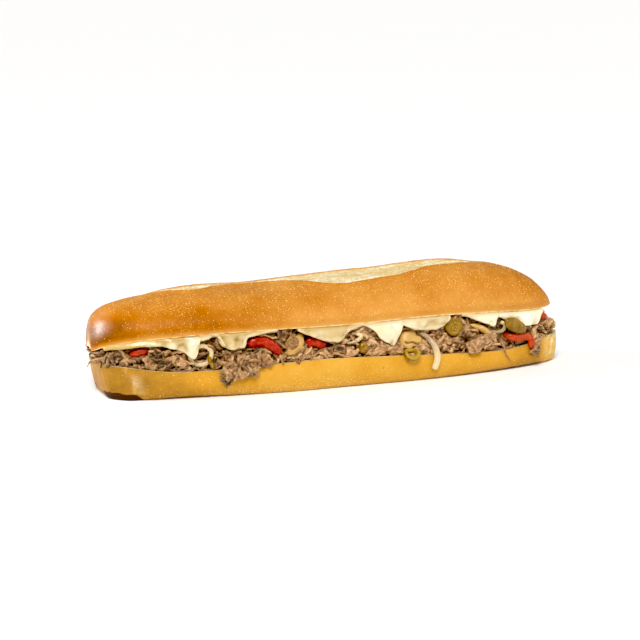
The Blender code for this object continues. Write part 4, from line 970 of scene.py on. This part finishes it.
def cheese_slice(name, front, back):
    """One melted slice, from its front edge over the filling to its back edge."""
    steps = 90
    number = list(CHEESE).index(name)
    lift = 0.4 * (number % 2)

    def lip(knots, side):
        """The hanging lip on one side, from its edge up to the rim."""
        x, drop = edge_points(knots, steps).T
        rim, edge = along(TOP_RIM, x), rim_half_width(x) - LIP_INSET
        top = rim - CHEESE_THICKNESS / 2 + 0.2
        line = np.stack([x, 0 * x + 9 * number, 0 * x], axis=1)
        deepest = np.maximum(drop - 2 + 0.35 * ripple(line, 3.0, 20), 0.4)[:, None]
        depth = deepest * np.linspace(1, 0, 22)[None]
        widen = np.linspace(-1, 1, steps)[:, None] * 2.0 * (1 - ease(0, 5, depth))
        z = top[:, None] - depth
        across = x[:, None] + widen
        spots = np.stack(np.broadcast_arrays(across, side * 30.0 + 11 * number, z), axis=-1)
        folds = 6.0 * ripple(spots, np.array((6.6, 9.0, 34.0)), 22) * ease(-1.0, 8, depth)
        folds = folds + 2.4 * ripple(spots, np.array((5.0, 4.0, 6.0)), 23) * ease(0.5, 5, depth)
        folds = FOLDING[name] * (folds - 0.5 * np.maximum(folds - 0.8, 0))
        rolled = ROLL[name] * np.exp(-(((deepest - depth) / 1.4) ** 2)) * ease(1, 4, deepest)
        bulge = (0.18 - 0.13 * ROLL[name]) * deepest * np.sin(math.pi * depth / deepest)
        y = edge[:, None] - 0.2 * (1 - ease(0, 2.0, depth)) + bulge + folds + rolled + lift
        bead = np.exp(-(((deepest - depth) / 2.0) ** 2))
        # Painted shade in the folds' hollows, just under the rim, and over the slices whose freshness is negative
        hollow = 0.7 * ease(1.0, -2.6, folds) + 0.5 * (1 - ease(0, 2.4, depth)) - min(FRESHNESS_AND_SHADE[name], 0)
        if name == "a":
            # More painted shade on slice a: over its left part and along its upper band under the rim
            hollow = hollow + 0.9 * ease(-148, -142, across) * (1 - ease(-131, -124, across))
            hollow = hollow + 0.7 * (1 - ease(1.0, 4.0, depth)) * (1 - ease(-108, -100, across))
        # The rolled bead is kept free of the painted shade, as the lit part of the lip
        hollow = np.clip(hollow, 0, 1) * (1 - bead * ease(0.5, 1.2, ROLL[name]))
        return np.stack(np.broadcast_arrays(across, side * y, z), axis=-1), bead, hollow

    front_lip, front_bead, front_painted_shade = lip(front, -1)
    back_lip, back_bead, back_painted_shade = lip(back, 1)
    flat = np.linspace(0.97, -0.97, 18)[None]
    share = (1 - flat) / 2
    x = front_lip[:, -1:, 0] * (1 - share) + back_lip[:, -1:, 0] * share
    y = -(rim_half_width(x) - LIP_INSET - 1.4) * flat
    z = top_cut(x, y) - GAP - CHEESE_THICKNESS / 2
    middle = np.concatenate([front_lip, np.stack([x, y, z], axis=-1), back_lip[:, ::-1]], axis=1)
    for _ in range(2):
        middle[:, 19:43] = (middle[:, 18:42] + 2 * middle[:, 19:43] + middle[:, 20:44]) / 4
    bead = np.concatenate([front_bead, np.zeros((steps, 18)), back_bead[:, ::-1]], axis=1)
    hollow = np.concatenate([front_painted_shade, np.zeros((steps, 18)), back_painted_shade[:, ::-1]], axis=1)
    points, faces, inside = pad(middle, CHEESE_THICKNESS * (1 + 0.4 * bead), 1.2)
    return points, outward_faces(points, faces.tolist()), both_sides(np.minimum(hollow, 1))


class SANDWICH_OT_roll_top(bpy.types.Operator):
    """Add the roll's scored top half"""

    bl_idname = "sandwich.roll_top"
    bl_label = "Top of the roll"

    def execute(self, context):
        look = context.scene.sandwich_bread
        light = mixed(tuple(look.crust), (0.62, 0.33, 0.08), 0.8)
        finish = crust_finish("top_crust", light, tuple(look.crust), tuple(look.dark_crust),
                              scaled(look.dark_crust, 0.5), tuple(look.pale_crust))
        rings, values = top_rings(bread_stations(TOP_END_LEFT, TOP_END_RIGHT))
        make_bread("bread_top", rings, values, TOP_END_LEFT, TOP_END_RIGHT, finish, "roll_top")
        return {"FINISHED"}


class SANDWICH_OT_roll_bottom(bpy.types.Operator):
    """Add the roll's bottom half"""

    bl_idname = "sandwich.roll_bottom"
    bl_label = "Bottom of the roll"

    def execute(self, context):
        look = context.scene.sandwich_bread
        plain = mixed(tuple(look.crust), (0.56, 0.29, 0.022), 0.65)
        light = mixed(plain, (0.68, 0.41, 0.08), 0.7)
        dark = mixed(tuple(look.dark_crust), (0.325, 0.166, 0.024), 0.85)
        finish = crust_finish("bottom_crust", light, plain, dark, (0.05, 0.016, 0.004), tuple(look.pale_crust))
        rings, values = bottom_rings(bread_stations(BOTTOM_END_LEFT, BOTTOM_END_RIGHT))
        make_bread("bread_bottom", rings, values, BOTTOM_END_LEFT, BOTTOM_END_RIGHT, finish, "roll_bottom")
        return {"FINISHED"}


class SANDWICH_OT_grains(bpy.types.Operator):
    """Scatter grains of cornmeal over both halves of the roll"""

    bl_idname = "sandwich.grains"
    bl_label = "Cornmeal grains"

    def execute(self, context):
        look = context.scene.sandwich_bread
        tree, sockets = grain_tree(grain_finish())
        for crust, name, extra in (("bread_top", "grains_top", 0), ("bread_bottom", "grains_bottom", 1)):
            scatter_grains(bpy.data.objects[crust], name, tree, sockets, {
                "Grains per square metre": look.grain_density,
                "Grain radius": look.grain_radius,
                "Seed": look.seed + extra,
            })
        return {"FINISHED"}


class SANDWICH_OT_cheese(bpy.types.Operator):
    """Add the melted slices of cheese"""

    bl_idname = "sandwich.cheese"
    bl_label = "Cheese slices"

    def execute(self, context):
        finish = cheese_finish(tuple(context.scene.sandwich_filling.cheese))
        for name, (front, back) in CHEESE.items():
            points, faces, hollow = cheese_slice(name, front, back)
            add_piece("melted_cheese_" + name, points, faces, finish, ("cheese_" + name,),
                      {"fresh": np.full(len(points), max(FRESHNESS_AND_SHADE[name], 0)),
                       "hollow": hollow})
        return {"FINISHED"}


class SANDWICH_OT_peppers(bpy.types.Operator):
    """Add the red and green pepper pieces"""

    bl_idname = "sandwich.peppers"
    bl_label = "Peppers"

    def execute(self, context):
        look = context.scene.sandwich_filling
        red, green = tuple(look.red_pepper), tuple(look.green_pepper)
        finishes = {"red_pepper": pepper_finish("red_pepper", red, mixed(red, (0.75, 0.16, 0.03), 0.6), 0.12),
                    "green_pepper": pepper_finish("green_pepper", green, mixed(green, (0.50, 0.31, 0.03), 0.7), 0.25)}
        for name, (points, width, thickness, side) in STRIPS.items():
            kind = name.rsplit("_", 1)[0]
            if kind not in finishes:
                continue
            path = smooth_path(to_front(*np.array(points, float).T, side=side), 46)
            run = np.linspace(0, 1, 46)
            path = path + 0.35 * np.stack([ripple(path, 5.0, seed) for seed in (40, 41, 42)], axis=-1)
            wide = width * (1 + 0.10 * ripple(path, 6.0, 43)) * (0.86 + 0.14 * np.sin(math.pi * run))
            shape = bar(path, (0, side, 0), wide, thickness, False, sides=22, power=0.8, curve=0.10)
            made, faces, across, outer = shape
            # The skin is painted lighter on the pieces listed above, as painted light
            add_piece(name.replace("pepper", "pepper_piece"), made, outward_faces(made, faces), finishes[kind],
                      (name,), {"flesh": np.maximum(1 - ease(-0.75, -0.2, outer), PEPPER_PAINTED_LIGHT.get(name, 0))})
        for name, (centre, turn, radius, width, thickness, side) in RINGS.items():
            if not name.startswith("green"):
                continue
            angle = np.linspace(0, 2 * math.pi, 72, endpoint=False)
            uneven = radius * (1 + 0.05 * np.sin(2 * angle + 1) + 0.03 * np.sin(3 * angle))
            inwards = -side * 5.0 * ease(-0.2, 1.0, np.sin(angle))
            path = np.stack([uneven * np.cos(angle), inwards, uneven * np.sin(angle)], axis=1)
            made, faces, across, outer = bar(path, (0, -1, 0), width, thickness, True, sides=20, power=0.7)
            flesh = 1 - ease(radius + width * 0.30, radius + width * 0.46, np.hypot(made[:, 0], made[:, 2]))
            made = turn_and_place(made, turn, centre, side)
            add_piece(name.replace("pepper", "pepper_ring"), made, outward_faces(made, faces),
                      finishes["green_pepper"], (name,), {"flesh": flesh})
        self.add_disc(finishes["green_pepper"])
        self.add_cap(finishes["green_pepper"])
        return {"FINISHED"}

    def turned(self, profile, steps):
        """A solid turned about its Y axis from (radius, y) points that start and end on it."""
        angle = 2 * math.pi * np.arange(steps) / steps
        rings = np.array([np.stack([r * np.cos(angle), 0 * angle + y, r * np.sin(angle)], axis=1)
                          for r, y in profile[1:-1]])
        return loft(rings, (0, profile[0][1], 0), (0, profile[-1][1], 0))

    def add_disc(self, finish):
        """A round slice of green pepper with its seeds."""
        centre, turn, side = GREEN_DISC
        rim, web = DISC_RIM / 2, DISC_WEB / 2
        half = [(0, web), (2.0, web), (3.0, web * 1.05), (3.6, web * 1.3), (4.2, rim * 0.93), (4.8, rim), (5.4, rim),
                (5.9, rim * 0.86), (DISC_RADIUS, rim * 0.5), (DISC_RADIUS + 0.05, 0)]
        profile = [(r, -y) for r, y in half] + [(r, y) for r, y in reversed(half[:-1])]
        points, faces = self.turned(profile, 64)
        radius = np.hypot(points[:, 0], points[:, 2])
        flesh = 0.6 * (1 - ease(DISC_RADIUS - 2.6, DISC_RADIUS - 1.0, radius))
        seeds = np.random.default_rng(3)
        all_points, all_faces, all_flesh = [points], list(faces), [flesh * 0.8]
        for k in range(7):
            angle, reach = 2 * math.pi * k / 7 + seeds.uniform(-0.2, 0.2), seeds.uniform(1.4, 2.9)
            profile = [(math.sin(math.pi * i / 6), -math.cos(math.pi * i / 6)) for i in range(7)]
            seed, seed_faces = self.turned(profile, 10)
            seed = seed * np.array((0.95, 0.5, 0.7))
            seed = seed + (reach * math.cos(angle), -web - 0.25, reach * math.sin(angle))
            all_faces += [tuple(index + sum(map(len, all_points)) for index in face) for face in seed_faces]
            all_points.append(seed)
            all_flesh.append(np.full(len(seed), 0.7))
        points = turn_and_place(np.concatenate(all_points), turn, centre, side)
        add_piece("green_pepper_slice_4", points, outward_faces(points, all_faces), finish,
                  ("green_pepper_4",), {"flesh": np.concatenate(all_flesh)})

    def add_cap(self, finish):
        """The rounded end of a green pepper."""
        centre, turn, side = GREEN_CAP
        steps = 26
        profile = [(math.sin(math.pi * i / steps), -math.cos(math.pi * i / steps)) for i in range(steps + 1)]
        points, faces = self.turned(profile, 56)
        points = points * np.array(CAP_RADII)
        swell = 0.35 * ripple(points, 5.0, 50) + 0.12 * ripple(points, 2.0, 51)
        points = points + unit(points) * swell[:, None]
        points = turn_and_place(points, turn, centre, side)
        add_piece("green_pepper_end_5", points, outward_faces(points, faces), finish,
                  ("green_pepper_5",), {"flesh": np.zeros(len(points))})


class SANDWICH_OT_onions(bpy.types.Operator):
    """Add the onion rings and strips"""

    bl_idname = "sandwich.onions"
    bl_label = "Onion"

    def execute(self, context):
        finish = onion_finish(tuple(context.scene.sandwich_filling.onion))
        for name, (points, width, thickness, side) in STRIPS.items():
            if not name.startswith("onion"):
                continue
            path = smooth_path(to_front(*np.array(points, float).T, side=side), 54)
            run = np.linspace(0, 1, 54)
            wide = width * (0.62 + 0.38 * ease(0.0, 0.6, run))
            made, faces, across, outer = bar(path, (0, side, 0), wide, thickness, False, sides=18,
                                             curve=0.16, end=0.7)
            self.add(name, "strip", made, faces, across, np.append(np.repeat(run, 18), (0, 1)) * 25, finish)
        for name, (centre, turn, radius, width, thickness, side) in RINGS.items():
            if not name.startswith("onion"):
                continue
            angle = np.linspace(0, 2 * math.pi, 84, endpoint=False)
            uneven = radius * (1 + 0.06 * np.sin(2 * angle + 0.6) + 0.02 * np.sin(5 * angle))
            path = np.stack([uneven * np.cos(angle), 0.5 * np.sin(2 * angle), uneven * np.sin(angle)], axis=1)
            made, faces, across, outer = bar(path, (0, -1, 0), width, thickness, True, sides=18, power=0.85)
            made = turn_and_place(made, turn, centre, side)
            self.add(name, "ring", made, faces, across, np.repeat(10 * np.sin(angle), 18), finish)
        return {"FINISHED"}

    def add(self, name, kind, made, faces, across, run, finish):
        attributes = {"across": across * MM * 2, "run": run * MM, "tone": np.full(len(made), 0.001 * len(name)),
                      "wet": 0 * run if kind == "ring" else 1 - ease(4, 19, run)}
        add_piece(name.replace("onion", "onion_" + kind), made, outward_faces(made, faces), finish,
                  (name,), attributes)


def mushroom_outline(radius, height):
    """The outline of an upright slice through a cap and its stem, in x and z."""
    stem, cap = radius * 0.5, height * 0.6
    angle = np.linspace(0, math.pi, 25)
    points = [(radius * math.cos(a), height / 2 - cap + cap * math.sin(a)) for a in angle]
    left = [(-radius * 0.9, height / 2 - cap - 1.0), (-stem * 1.25, height / 2 - cap - 1.4),
            (-stem, -height / 2 + 1.0), (-stem * 0.6, -height / 2)]
    return np.array(points + left + [(-x, z) for x, z in reversed(left)])


class SANDWICH_OT_mushrooms(bpy.types.Operator):
    """Add the slices of mushroom"""

    bl_idname = "sandwich.mushrooms"
    bl_label = "Mushrooms"

    def execute(self, context):
        finish = mushroom_finish(tuple(context.scene.sandwich_filling.mushroom))
        for name, (centre, turn, radius, height, thickness, side) in MUSHROOMS.items():
            outline = mushroom_outline(radius, height)
            closed = np.concatenate([outline, outline[:1]])
            length = np.concatenate([[0], np.cumsum(np.linalg.norm(np.diff(closed, axis=0), axis=1))])
            share = np.linspace(0, length[-1], 96, endpoint=False)
            rim = np.stack([np.interp(share, length, closed[:, i]) for i in (0, 1)], axis=1)
            for _ in range(2):
                rim = (np.roll(rim, 1, axis=0) + 2 * rim + np.roll(rim, -1, axis=0)) / 4
            heart = np.array((0.0, 0.0))
            reach = np.concatenate([np.linspace(0.04, 0.86, 16), (0.91, 0.95, 0.98, 1.0)])
            round_off = np.sqrt(1 - np.clip((reach - 0.80) / 0.2, 0, 1) ** 2)
            skins = []
            for face in (-1, 1):
                order = range(len(reach)) if face < 0 else range(len(reach) - 2, -1, -1)
                for i in order:
                    flat = heart + (rim - heart) * reach[i]
                    y = face * thickness / 2 * max(round_off[i], 0.0) + np.zeros(len(flat))
                    skins.append(np.stack([flat[:, 0], y, flat[:, 1]], axis=1))
            rings = np.array(skins)
            gill = self.gills(name, rings, height)
            rings[..., 1] -= np.sign(rings[..., 1]) * 0.7 * gill
            warp = 0.35 * ripple(rings, 6.0, 60) + 0.12 * ripple(rings, 2.2, 61)
            rings[..., 1] += warp + 0.02 * rings[..., 0] ** 2
            points, faces = loft(rings, tuple(rings[0].mean(axis=0)), tuple(rings[-1].mean(axis=0)))
            points = turn_and_place(points, turn, centre, side)
            values = {"gill": np.append(gill.ravel(), (0, 0))}
            add_piece(name.replace("mushroom", "mushroom_slice"), points, outward_faces(points, faces), finish,
                      (name,), values)
        points, width, thickness, side = STRIPS["mushroom_3"]
        path = smooth_path(to_front(*np.array(points, float).T, side=side), 48)
        lens = width * (0.4 + 0.6 * np.sin(math.pi * np.linspace(0, 1, 48)))
        made, faces, across, outer = bar(path, (0, side, 0), lens, thickness, False, sides=18, power=0.9)
        add_piece("mushroom_edge_3", made, outward_faces(made, faces), finish,
                  ("mushroom_3",), {"gill": 0.6 * (1 - ease(-0.9, -0.5, across))})
        return {"FINISHED"}

    def gills(self, name, rings, height):
        """1 where the slice is brown and sunken: its gills, or the seam between its two halves; the upright slices
        are at least 0.18 everywhere, a painted shade over the whole slice.
        """
        x, z = rings[..., 0], rings[..., 2]
        if name == "mushroom_2":
            seam = x + 1.8 + 0.08 * z + 0.4 * np.sin(z)
            return np.exp(-((seam / 0.7) ** 2)) * ease(-7.5, -6, z) * (1 - ease(3.0, 5.0, z))
        cap = height * 0.6
        rise = z - height / 2 + cap
        reach = np.hypot(x / np.abs(x).max(), np.maximum(rise, 0) / cap) + 0.04 * ripple(rings, 2.5, 62)
        brown = np.maximum(1 - ease(0.46, 0.56, reach), 1 - ease(-1.2, 0.2, rise))
        # The floor of 0.18 is painted shade over the whole slice
        return np.maximum(brown * (0.8 + 0.5 * ripple(rings * np.array((1, 0.2, 1)), 0.9, 63)), 0.18)


def flake(rng, length, width, crumple, curl, rows=13, columns=9, thickness=FLAKE_THICKNESS):
    """One crumpled shaving round the origin, with its values."""
    s = np.linspace(-0.5, 0.5, rows)[:, None]
    t = np.linspace(-0.5, 0.5, columns)[None]
    seed = float(rng.integers(1, 4000))
    edge_spots = np.stack(np.broadcast_arrays(s * 6, np.sign(t) * 3.0, seed), axis=-1)
    ragged = 1 + 0.3 * ripple(edge_spots, 0.9, 70)
    x = length * s * (1 + 0.16 * np.cos(5 * t + seed))
    y = width * t * (0.55 + 0.45 * (1 - (2 * s) ** 2)) * ragged
    angle = y / max(width, 1e-3) * curl + 0.3 * np.sin(3 * s + seed)
    radius = width / max(abs(curl), 0.2)
    grid = np.stack(np.broadcast_arrays(x, radius * np.sin(angle), radius * (1 - np.cos(angle))), axis=-1)
    spots = grid + seed * 3.7
    bend = np.stack([ripple(spots, 5.0, k) for k in (71, 72, 73)], axis=-1)
    fine = np.stack([ripple(spots, 2.2, k) for k in (74, 75, 76)], axis=-1)
    grid = grid + crumple * (bend * np.array((0.7, 0.9, 1.5)) + 0.38 * fine)
    across = np.broadcast_to(t * width, grid.shape[:2])
    run = np.broadcast_to(s * length, grid.shape[:2])
    return grid, across, run


class Heap:
    """Gathers many shavings into one mesh."""

    def __init__(self):
        self.points, self.faces, self.count = [], [], 0
        self.values = {"across": [], "run": [], "tone": [], "edge": []}

    def add(self, grid, across, run, tone, thickness):
        points, faces, inside = pad(grid, thickness, 0.9)
        self.points.append(points)
        self.faces.append(faces + self.count)
        self.count += len(points)
        self.values["across"].append(both_sides(across) * MM)
        self.values["run"].append(both_sides(run) * MM)
        self.values["tone"].append(np.full(len(points), tone))
        self.values["edge"].append(both_sides(1 - ease(0.2, 1.3, inside)))

    def finish(self, name, finish):
        values = {key: np.concatenate(parts) for key, parts in self.values.items()}
        return add_piece(name, np.concatenate(self.points), np.concatenate(self.faces).tolist(), finish,
                         (), values)


class SANDWICH_OT_steak(bpy.types.Operator):
    """Add the heap of shaved steak"""

    bl_idname = "sandwich.steak"
    bl_label = "Shaved steak"

    def execute(self, context):
        look = context.scene.sandwich_filling
        self.colour = tuple(look.steak)
        self.rng = np.random.default_rng(STEAK_SEED)
        self.finish = steak_finish(self.colour)
        self.add_core()
        trees = []
        for obj in bpy.data.objects:
            if obj.name.startswith(IN_FRONT):
                corners = [vertex.co / MM for vertex in obj.data.vertices]
                trees.append(BVHTree.FromPolygons(corners, [tuple(f.vertices) for f in obj.data.polygons]))
        self.trees = trees
        front = look.front_shavings // 2
        for name, side, count, left, right in (("steak_front_left", -1, front, CORE_LEFT - 7, -4),
                                               ("steak_front_right", -1, front, -4, CORE_RIGHT),
                                               ("steak_back", 1, look.back_shavings, CORE_LEFT - 7, CORE_RIGHT)):
            heap = Heap()
            self.fill(heap, side, count, left, right)
            heap.finish(name, self.finish)
        heap = Heap()
        self.hang(heap)
        self.plates(heap)
        heap.finish("steak_loose", self.finish)
        return {"FINISHED"}

    def add_core(self):
        """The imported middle, between the bottom half and the cheese."""
        x = np.linspace(CORE_LEFT, CORE_RIGHT, 150)[1:-1, None]
        half = np.maximum(rim_half_width(x) - CORE_INSET, 2.0)
        angle = 2 * math.pi * (np.arange(60)[None] + 0.5) / 60
        side, rise = np.cos(angle), np.sin(angle)
        y = half * np.sign(side) * np.abs(side) ** 0.6
        bare = ease(-48, -44, x) * (1 - ease(-33, -30, x)) + ease(66, 69, x) * (1 - ease(76, 79, x))
        low, high = bottom_cut(x, y) + GAP, top_cut(x, y) - 2.9 + 2.2 * bare
        share = 0.5 + 0.5 * np.sign(rise) * np.abs(rise) ** 0.6
        rings = np.stack(np.broadcast_arrays(x, y, low + (high - low) * share), axis=-1)
        push = 1.3 * ripple(rings, 7.0, 77) + 0.8 * ripple(rings, 2.8, 78)
        rings[..., 1] += np.sign(rings[..., 1]) * push * np.abs(side) ** 0.5
        tips = [(end, 0.0, float(ring[:, 2].mean()))
                for ring, end in ((rings[0], CORE_LEFT), (rings[-1], CORE_RIGHT))]
        points, faces = loft(rings, *tips)
        add_piece("steak_core", points, outward_faces(points, faces), core_finish(self.colour),
                  ("steak_filling",))

    def hidden_share(self, grid):
        """The share of a shaving's points that would stand in front of the cheese or a vegetable."""
        spots = grid.reshape(-1, 3)[::3]
        back = Vector(SIGHT)
        hits = 0
        for spot in spots:
            start = Vector(spot)
            direction = back if spot[1] < 0 else Vector((back.x, -back.y, back.z))
            if any(tree.ray_cast(start, direction, SIGHT_REACH)[0] is not None for tree in self.trees):
                hits += 1
        return hits / len(spots)

    def fit(self, grid, side):
        """Presses a shaving between the two halves of the roll."""
        grid = grid.copy()
        x, y, z = grid[..., 0], grid[..., 1], grid[..., 2]
        inside = 1 - ease(-1.5, 1.5, side * y - rim_half_width(x))
        low = bottom_cut(x, y) + 0.5
        high = top_cut(x, y) - 0.8
        z = np.where((z < low) & (side * y < bottom_half_width(x) + WALL_GAP), low, z)
        z = np.where(z > high, z + (high - 1.15 * z + 0.15 * high) * inside, z)
        grid[..., 2] = z
        return grid

    def fill(self, heap, side, count, left, right):
        """Packs shavings along one side of the filling, from left to right."""
        rng = self.rng
        for number in range(count):
            for _ in range(6):
                x = left + (right - left) * ((number * 0.618) % 1.0)
                x = x + rng.uniform(-2, 2)
                low, high = float(along(BOTTOM_RIM, x)), float(along(TOP_RIM, x))
                level = rng.uniform(-0.02, 1.0)
                deep = rng.uniform(0, 1) ** 0.8
                outset = -1.8 - 7.0 * deep - 1.0 * level
                length, width = rng.uniform(6, 15), rng.uniform(5, 10)
                grid, across, run = flake(rng, length, width, rng.uniform(1.1, 2.2), rng.uniform(0.4, 3.2))
                turn = Euler((rng.uniform(-1.2, 1.2) + (1.2 if rng.random() < 0.4 else 0), rng.uniform(-0.7, 0.7),
                              rng.uniform(-0.6, 0.6)))
                grid = grid @ np.array(turn.to_matrix()).T
                centre = to_front(x, outset, low + (high - low) * level, side)
                grid = self.fit(grid - grid.reshape(-1, 3).mean(axis=0) + centre, side)
                reach = (side * grid[..., 1] - rim_half_width(grid[..., 0])).max()
                limit = 1.2 if level < 0.5 else -1.5
                if reach > limit:
                    grid[..., 1] -= side * (reach - limit)
                if self.hidden_share(grid) < 0.10:
                    clump = 0.2 * float(ripple(grid.reshape(-1, 3).mean(axis=0)[None], 7.0, 90)[0])
                    # Lighter from the middle rightwards than at the left: painted light where the light reaches into
                    # the filling
                    tone = clump + rng.uniform(0.08, 0.92) + 0.36 * float(ease(-60, -5, x))
                    tone = tone - 0.10 * float(ease(30, 70, x)) - 0.14
                    heap.add(grid, across, run, tone, FLAKE_THICKNESS * rng.uniform(0.8, 1.2))
                    break

    def hang(self, heap):
        """Adds the bunches that hang over the bottom half or stick out at the ends."""
        rng = self.rng
        for points, spread, count in BUNCHES:
            path = smooth_path(to_front(*np.array(points, float).T), 40)
            for number in range(count):
                place = (number + 0.5) / count
                spot = path[int(place * 39)] + rng.normal(0, 1, 3) * np.array((spread / 4, 0.5, 0.8))
                length, width = rng.uniform(5.5, 10), rng.uniform(4, 7)
                grid, across, run = flake(rng, length, width, rng.uniform(0.7, 1.4), rng.uniform(0.4, 2.4))
                turn = Euler((rng.uniform(-0.6, 0.6) + math.pi / 2, rng.uniform(-1.4, 1.4), rng.uniform(-0.4, 0.4)))
                grid = grid @ np.array(turn.to_matrix()).T
                grid = grid - grid.reshape(-1, 3).mean(axis=0) + spot
                if -spot[1] > bottom_half_width(spot[0]):
                    over = bottom_half_width(grid[..., 0]) + WALL_GAP + grid[..., 1]
                    below = grid[..., 2] < along(BOTTOM_RIM, grid[..., 0]) + 0.5
                    grid[..., 1] -= np.where(below & (over > 0), over, 0)
                grid = self.fit(grid, -1)
                tone = rng.uniform(0.0, 0.62) + (0.25 if spot[0] > 0 else 0)
                heap.add(grid, across, run, tone, 1.15 * FLAKE_THICKNESS)
        self.shred(heap, ((104, -6.5, 21.0), (105.2, 1.0, 18.8), (107.6, 3.2, 12.4), (111.5, 3.2, 6.2)), 2.2)
        self.shred(heap, ((-136, -6, 25.0), (-148, -1, 25.4), (-155, 3.0, 23.6), (-158.4, 4.0, 20.6)), 3.0)

    def plates(self, heap):
        """Adds the broader shavings that stand out, as (x, outset, z), length, width, turn, crumple, curl, tone."""
        for centre, length, width, turn, crumple, curl, tone in PLATES:
            grid, across, run = flake(self.rng, length, width, crumple, curl, rows=21, columns=15)
            grid = grid @ np.array(Euler((math.pi / 2, math.radians(turn), 0)).to_matrix()).T
            grid = grid - grid.reshape(-1, 3).mean(axis=0) + to_front(*[float(value) for value in centre])
            heap.add(grid, across, run, tone, 1.5)

    def shred(self, heap, points, width):
        """A thin shred along a path."""
        path = smooth_path(to_front(*np.array(points, float).T), 22)
        tangent = unit(np.gradient(path, axis=0))
        cross = unit(np.cross(tangent, (0, -1, 0)))
        t = np.linspace(-0.5, 0.5, 5)
        taper = (1 - 0.75 * np.linspace(0, 1, 22))[:, None, None]
        grid = path[:, None] + cross[:, None] * (t * width)[None, :, None] * taper
        grid = grid + 0.35 * np.stack([ripple(grid, 2.4, k) for k in (80, 81, 82)], axis=-1)
        across = np.broadcast_to(t * width, grid.shape[:2])
        run = np.broadcast_to(np.linspace(0, 20, 22)[:, None], grid.shape[:2])
        heap.add(grid, across, run, 0.5, 1.1)


class SANDWICH_OT_stage(bpy.types.Operator):
    """Add the floor, the lights and the camera"""

    bl_idname = "sandwich.stage"
    bl_label = "Stage"

    def execute(self, context):
        look = context.scene.sandwich_stage
        scene = context.scene
        mesh = bpy.data.meshes.new("floor")
        corners = [(x * FLOOR_REACH, y * FLOOR_REACH, FLOOR_DROP) for x, y in ((-1, -1), (1, -1), (1, 1), (-1, 1))]
        mesh.from_pydata(corners, [], [(0, 1, 2, 3)])
        pale = Finish("pale_floor")
        pale.shade(Base_Color=FLOOR_COLOUR, Roughness=0.9, Specular_IOR_Level=0.1)
        mesh.materials.append(pale.material)
        floor = bpy.data.objects.new("floor", mesh)
        scene.collection.objects.link(floor)
        world = scene.world or bpy.data.worlds.new("sky")
        scene.world = world
        world.use_nodes = True
        background = world.node_tree.nodes["Background"]
        background.inputs["Color"].default_value = (1.0, 1.0, 1.0, 1.0)
        background.inputs["Strength"].default_value = look.sky
        for name, strength, (angle, place) in (("key", look.key, KEY_SUN), ("fill", look.fill, FILL_SUN)):
            lamp = bpy.data.lights.new(name, "SUN")
            lamp.energy = strength
            lamp.angle = math.radians(angle)
            light = bpy.data.objects.new(name, lamp)
            light.rotation_euler = Vector(place).to_track_quat("Z", "Y").to_euler()
            scene.collection.objects.link(light)
        panel = bpy.data.lights.new("side_panel", "AREA")
        panel.shape = "RECTANGLE"
        panel.size, panel.size_y, panel.energy = PANEL_SIZE
        side = bpy.data.objects.new("side_panel", panel)
        side.location = PANEL_PLACE
        side.rotation_euler = (Vector(side.location) - Vector(PANEL_AIM)).to_track_quat("Z", "Y").to_euler()
        scene.collection.objects.link(side)
        lens = bpy.data.cameras.new("camera")
        lens.lens, lens.sensor_width = look.lens, 36.0
        lens.clip_end = 50.0
        camera = bpy.data.objects.new("camera", lens)
        turn, lift = look.azimuth, look.elevation
        back = Vector((math.sin(turn) * math.cos(lift), -math.cos(turn) * math.cos(lift), math.sin(lift)))
        camera.location = Vector(CAMERA_AIM) + back * look.distance
        camera.rotation_euler = back.to_track_quat("Z", "Y").to_euler()
        scene.collection.objects.link(camera)
        scene.camera = camera
        view = scene.view_settings
        view.view_transform = "Standard"
        view.use_curve_mapping = True
        view.curve_mapping.black_level = (look.black, look.black, look.black)
        view.curve_mapping.update()
        return {"FINISHED"}


OPERATORS = (SANDWICH_OT_roll_top, SANDWICH_OT_roll_bottom, SANDWICH_OT_grains, SANDWICH_OT_cheese,
             SANDWICH_OT_peppers, SANDWICH_OT_onions, SANDWICH_OT_mushrooms, SANDWICH_OT_steak,
             SANDWICH_OT_stage)


class SANDWICH_PT_panel(bpy.types.Panel):
    """Lists the pieces of the sandwich"""

    bl_idname = "SANDWICH_PT_panel"
    bl_label = "Submarine sandwich"
    bl_space_type = "VIEW_3D"
    bl_region_type = "UI"
    bl_category = "Sandwich"

    def draw(self, context):
        for operator in OPERATORS:
            self.layout.operator(operator.bl_idname)
        for settings in (context.scene.sandwich_bread, context.scene.sandwich_filling,
                         context.scene.sandwich_stage):
            column = self.layout.column()
            for name in settings.__annotations__:
                column.prop(settings, name)


SETTINGS = {"sandwich_bread": BreadSettings, "sandwich_filling": FillingSettings, "sandwich_stage": StageSettings}
CLASSES = (*SETTINGS.values(), *OPERATORS, SANDWICH_PT_panel)


def register():
    for made in CLASSES:
        bpy.utils.register_class(made)
    for name, group in SETTINGS.items():
        setattr(bpy.types.Scene, name, bpy.props.PointerProperty(type=group))


def unregister():
    for name in SETTINGS:
        delattr(bpy.types.Scene, name)
    for made in reversed(CLASSES):
        bpy.utils.unregister_class(made)


def main():
    register()
    for operator in OPERATORS:
        group, name = operator.bl_idname.split(".")
        getattr(getattr(bpy.ops, group), name)()


if __name__ == "__main__":
    main()
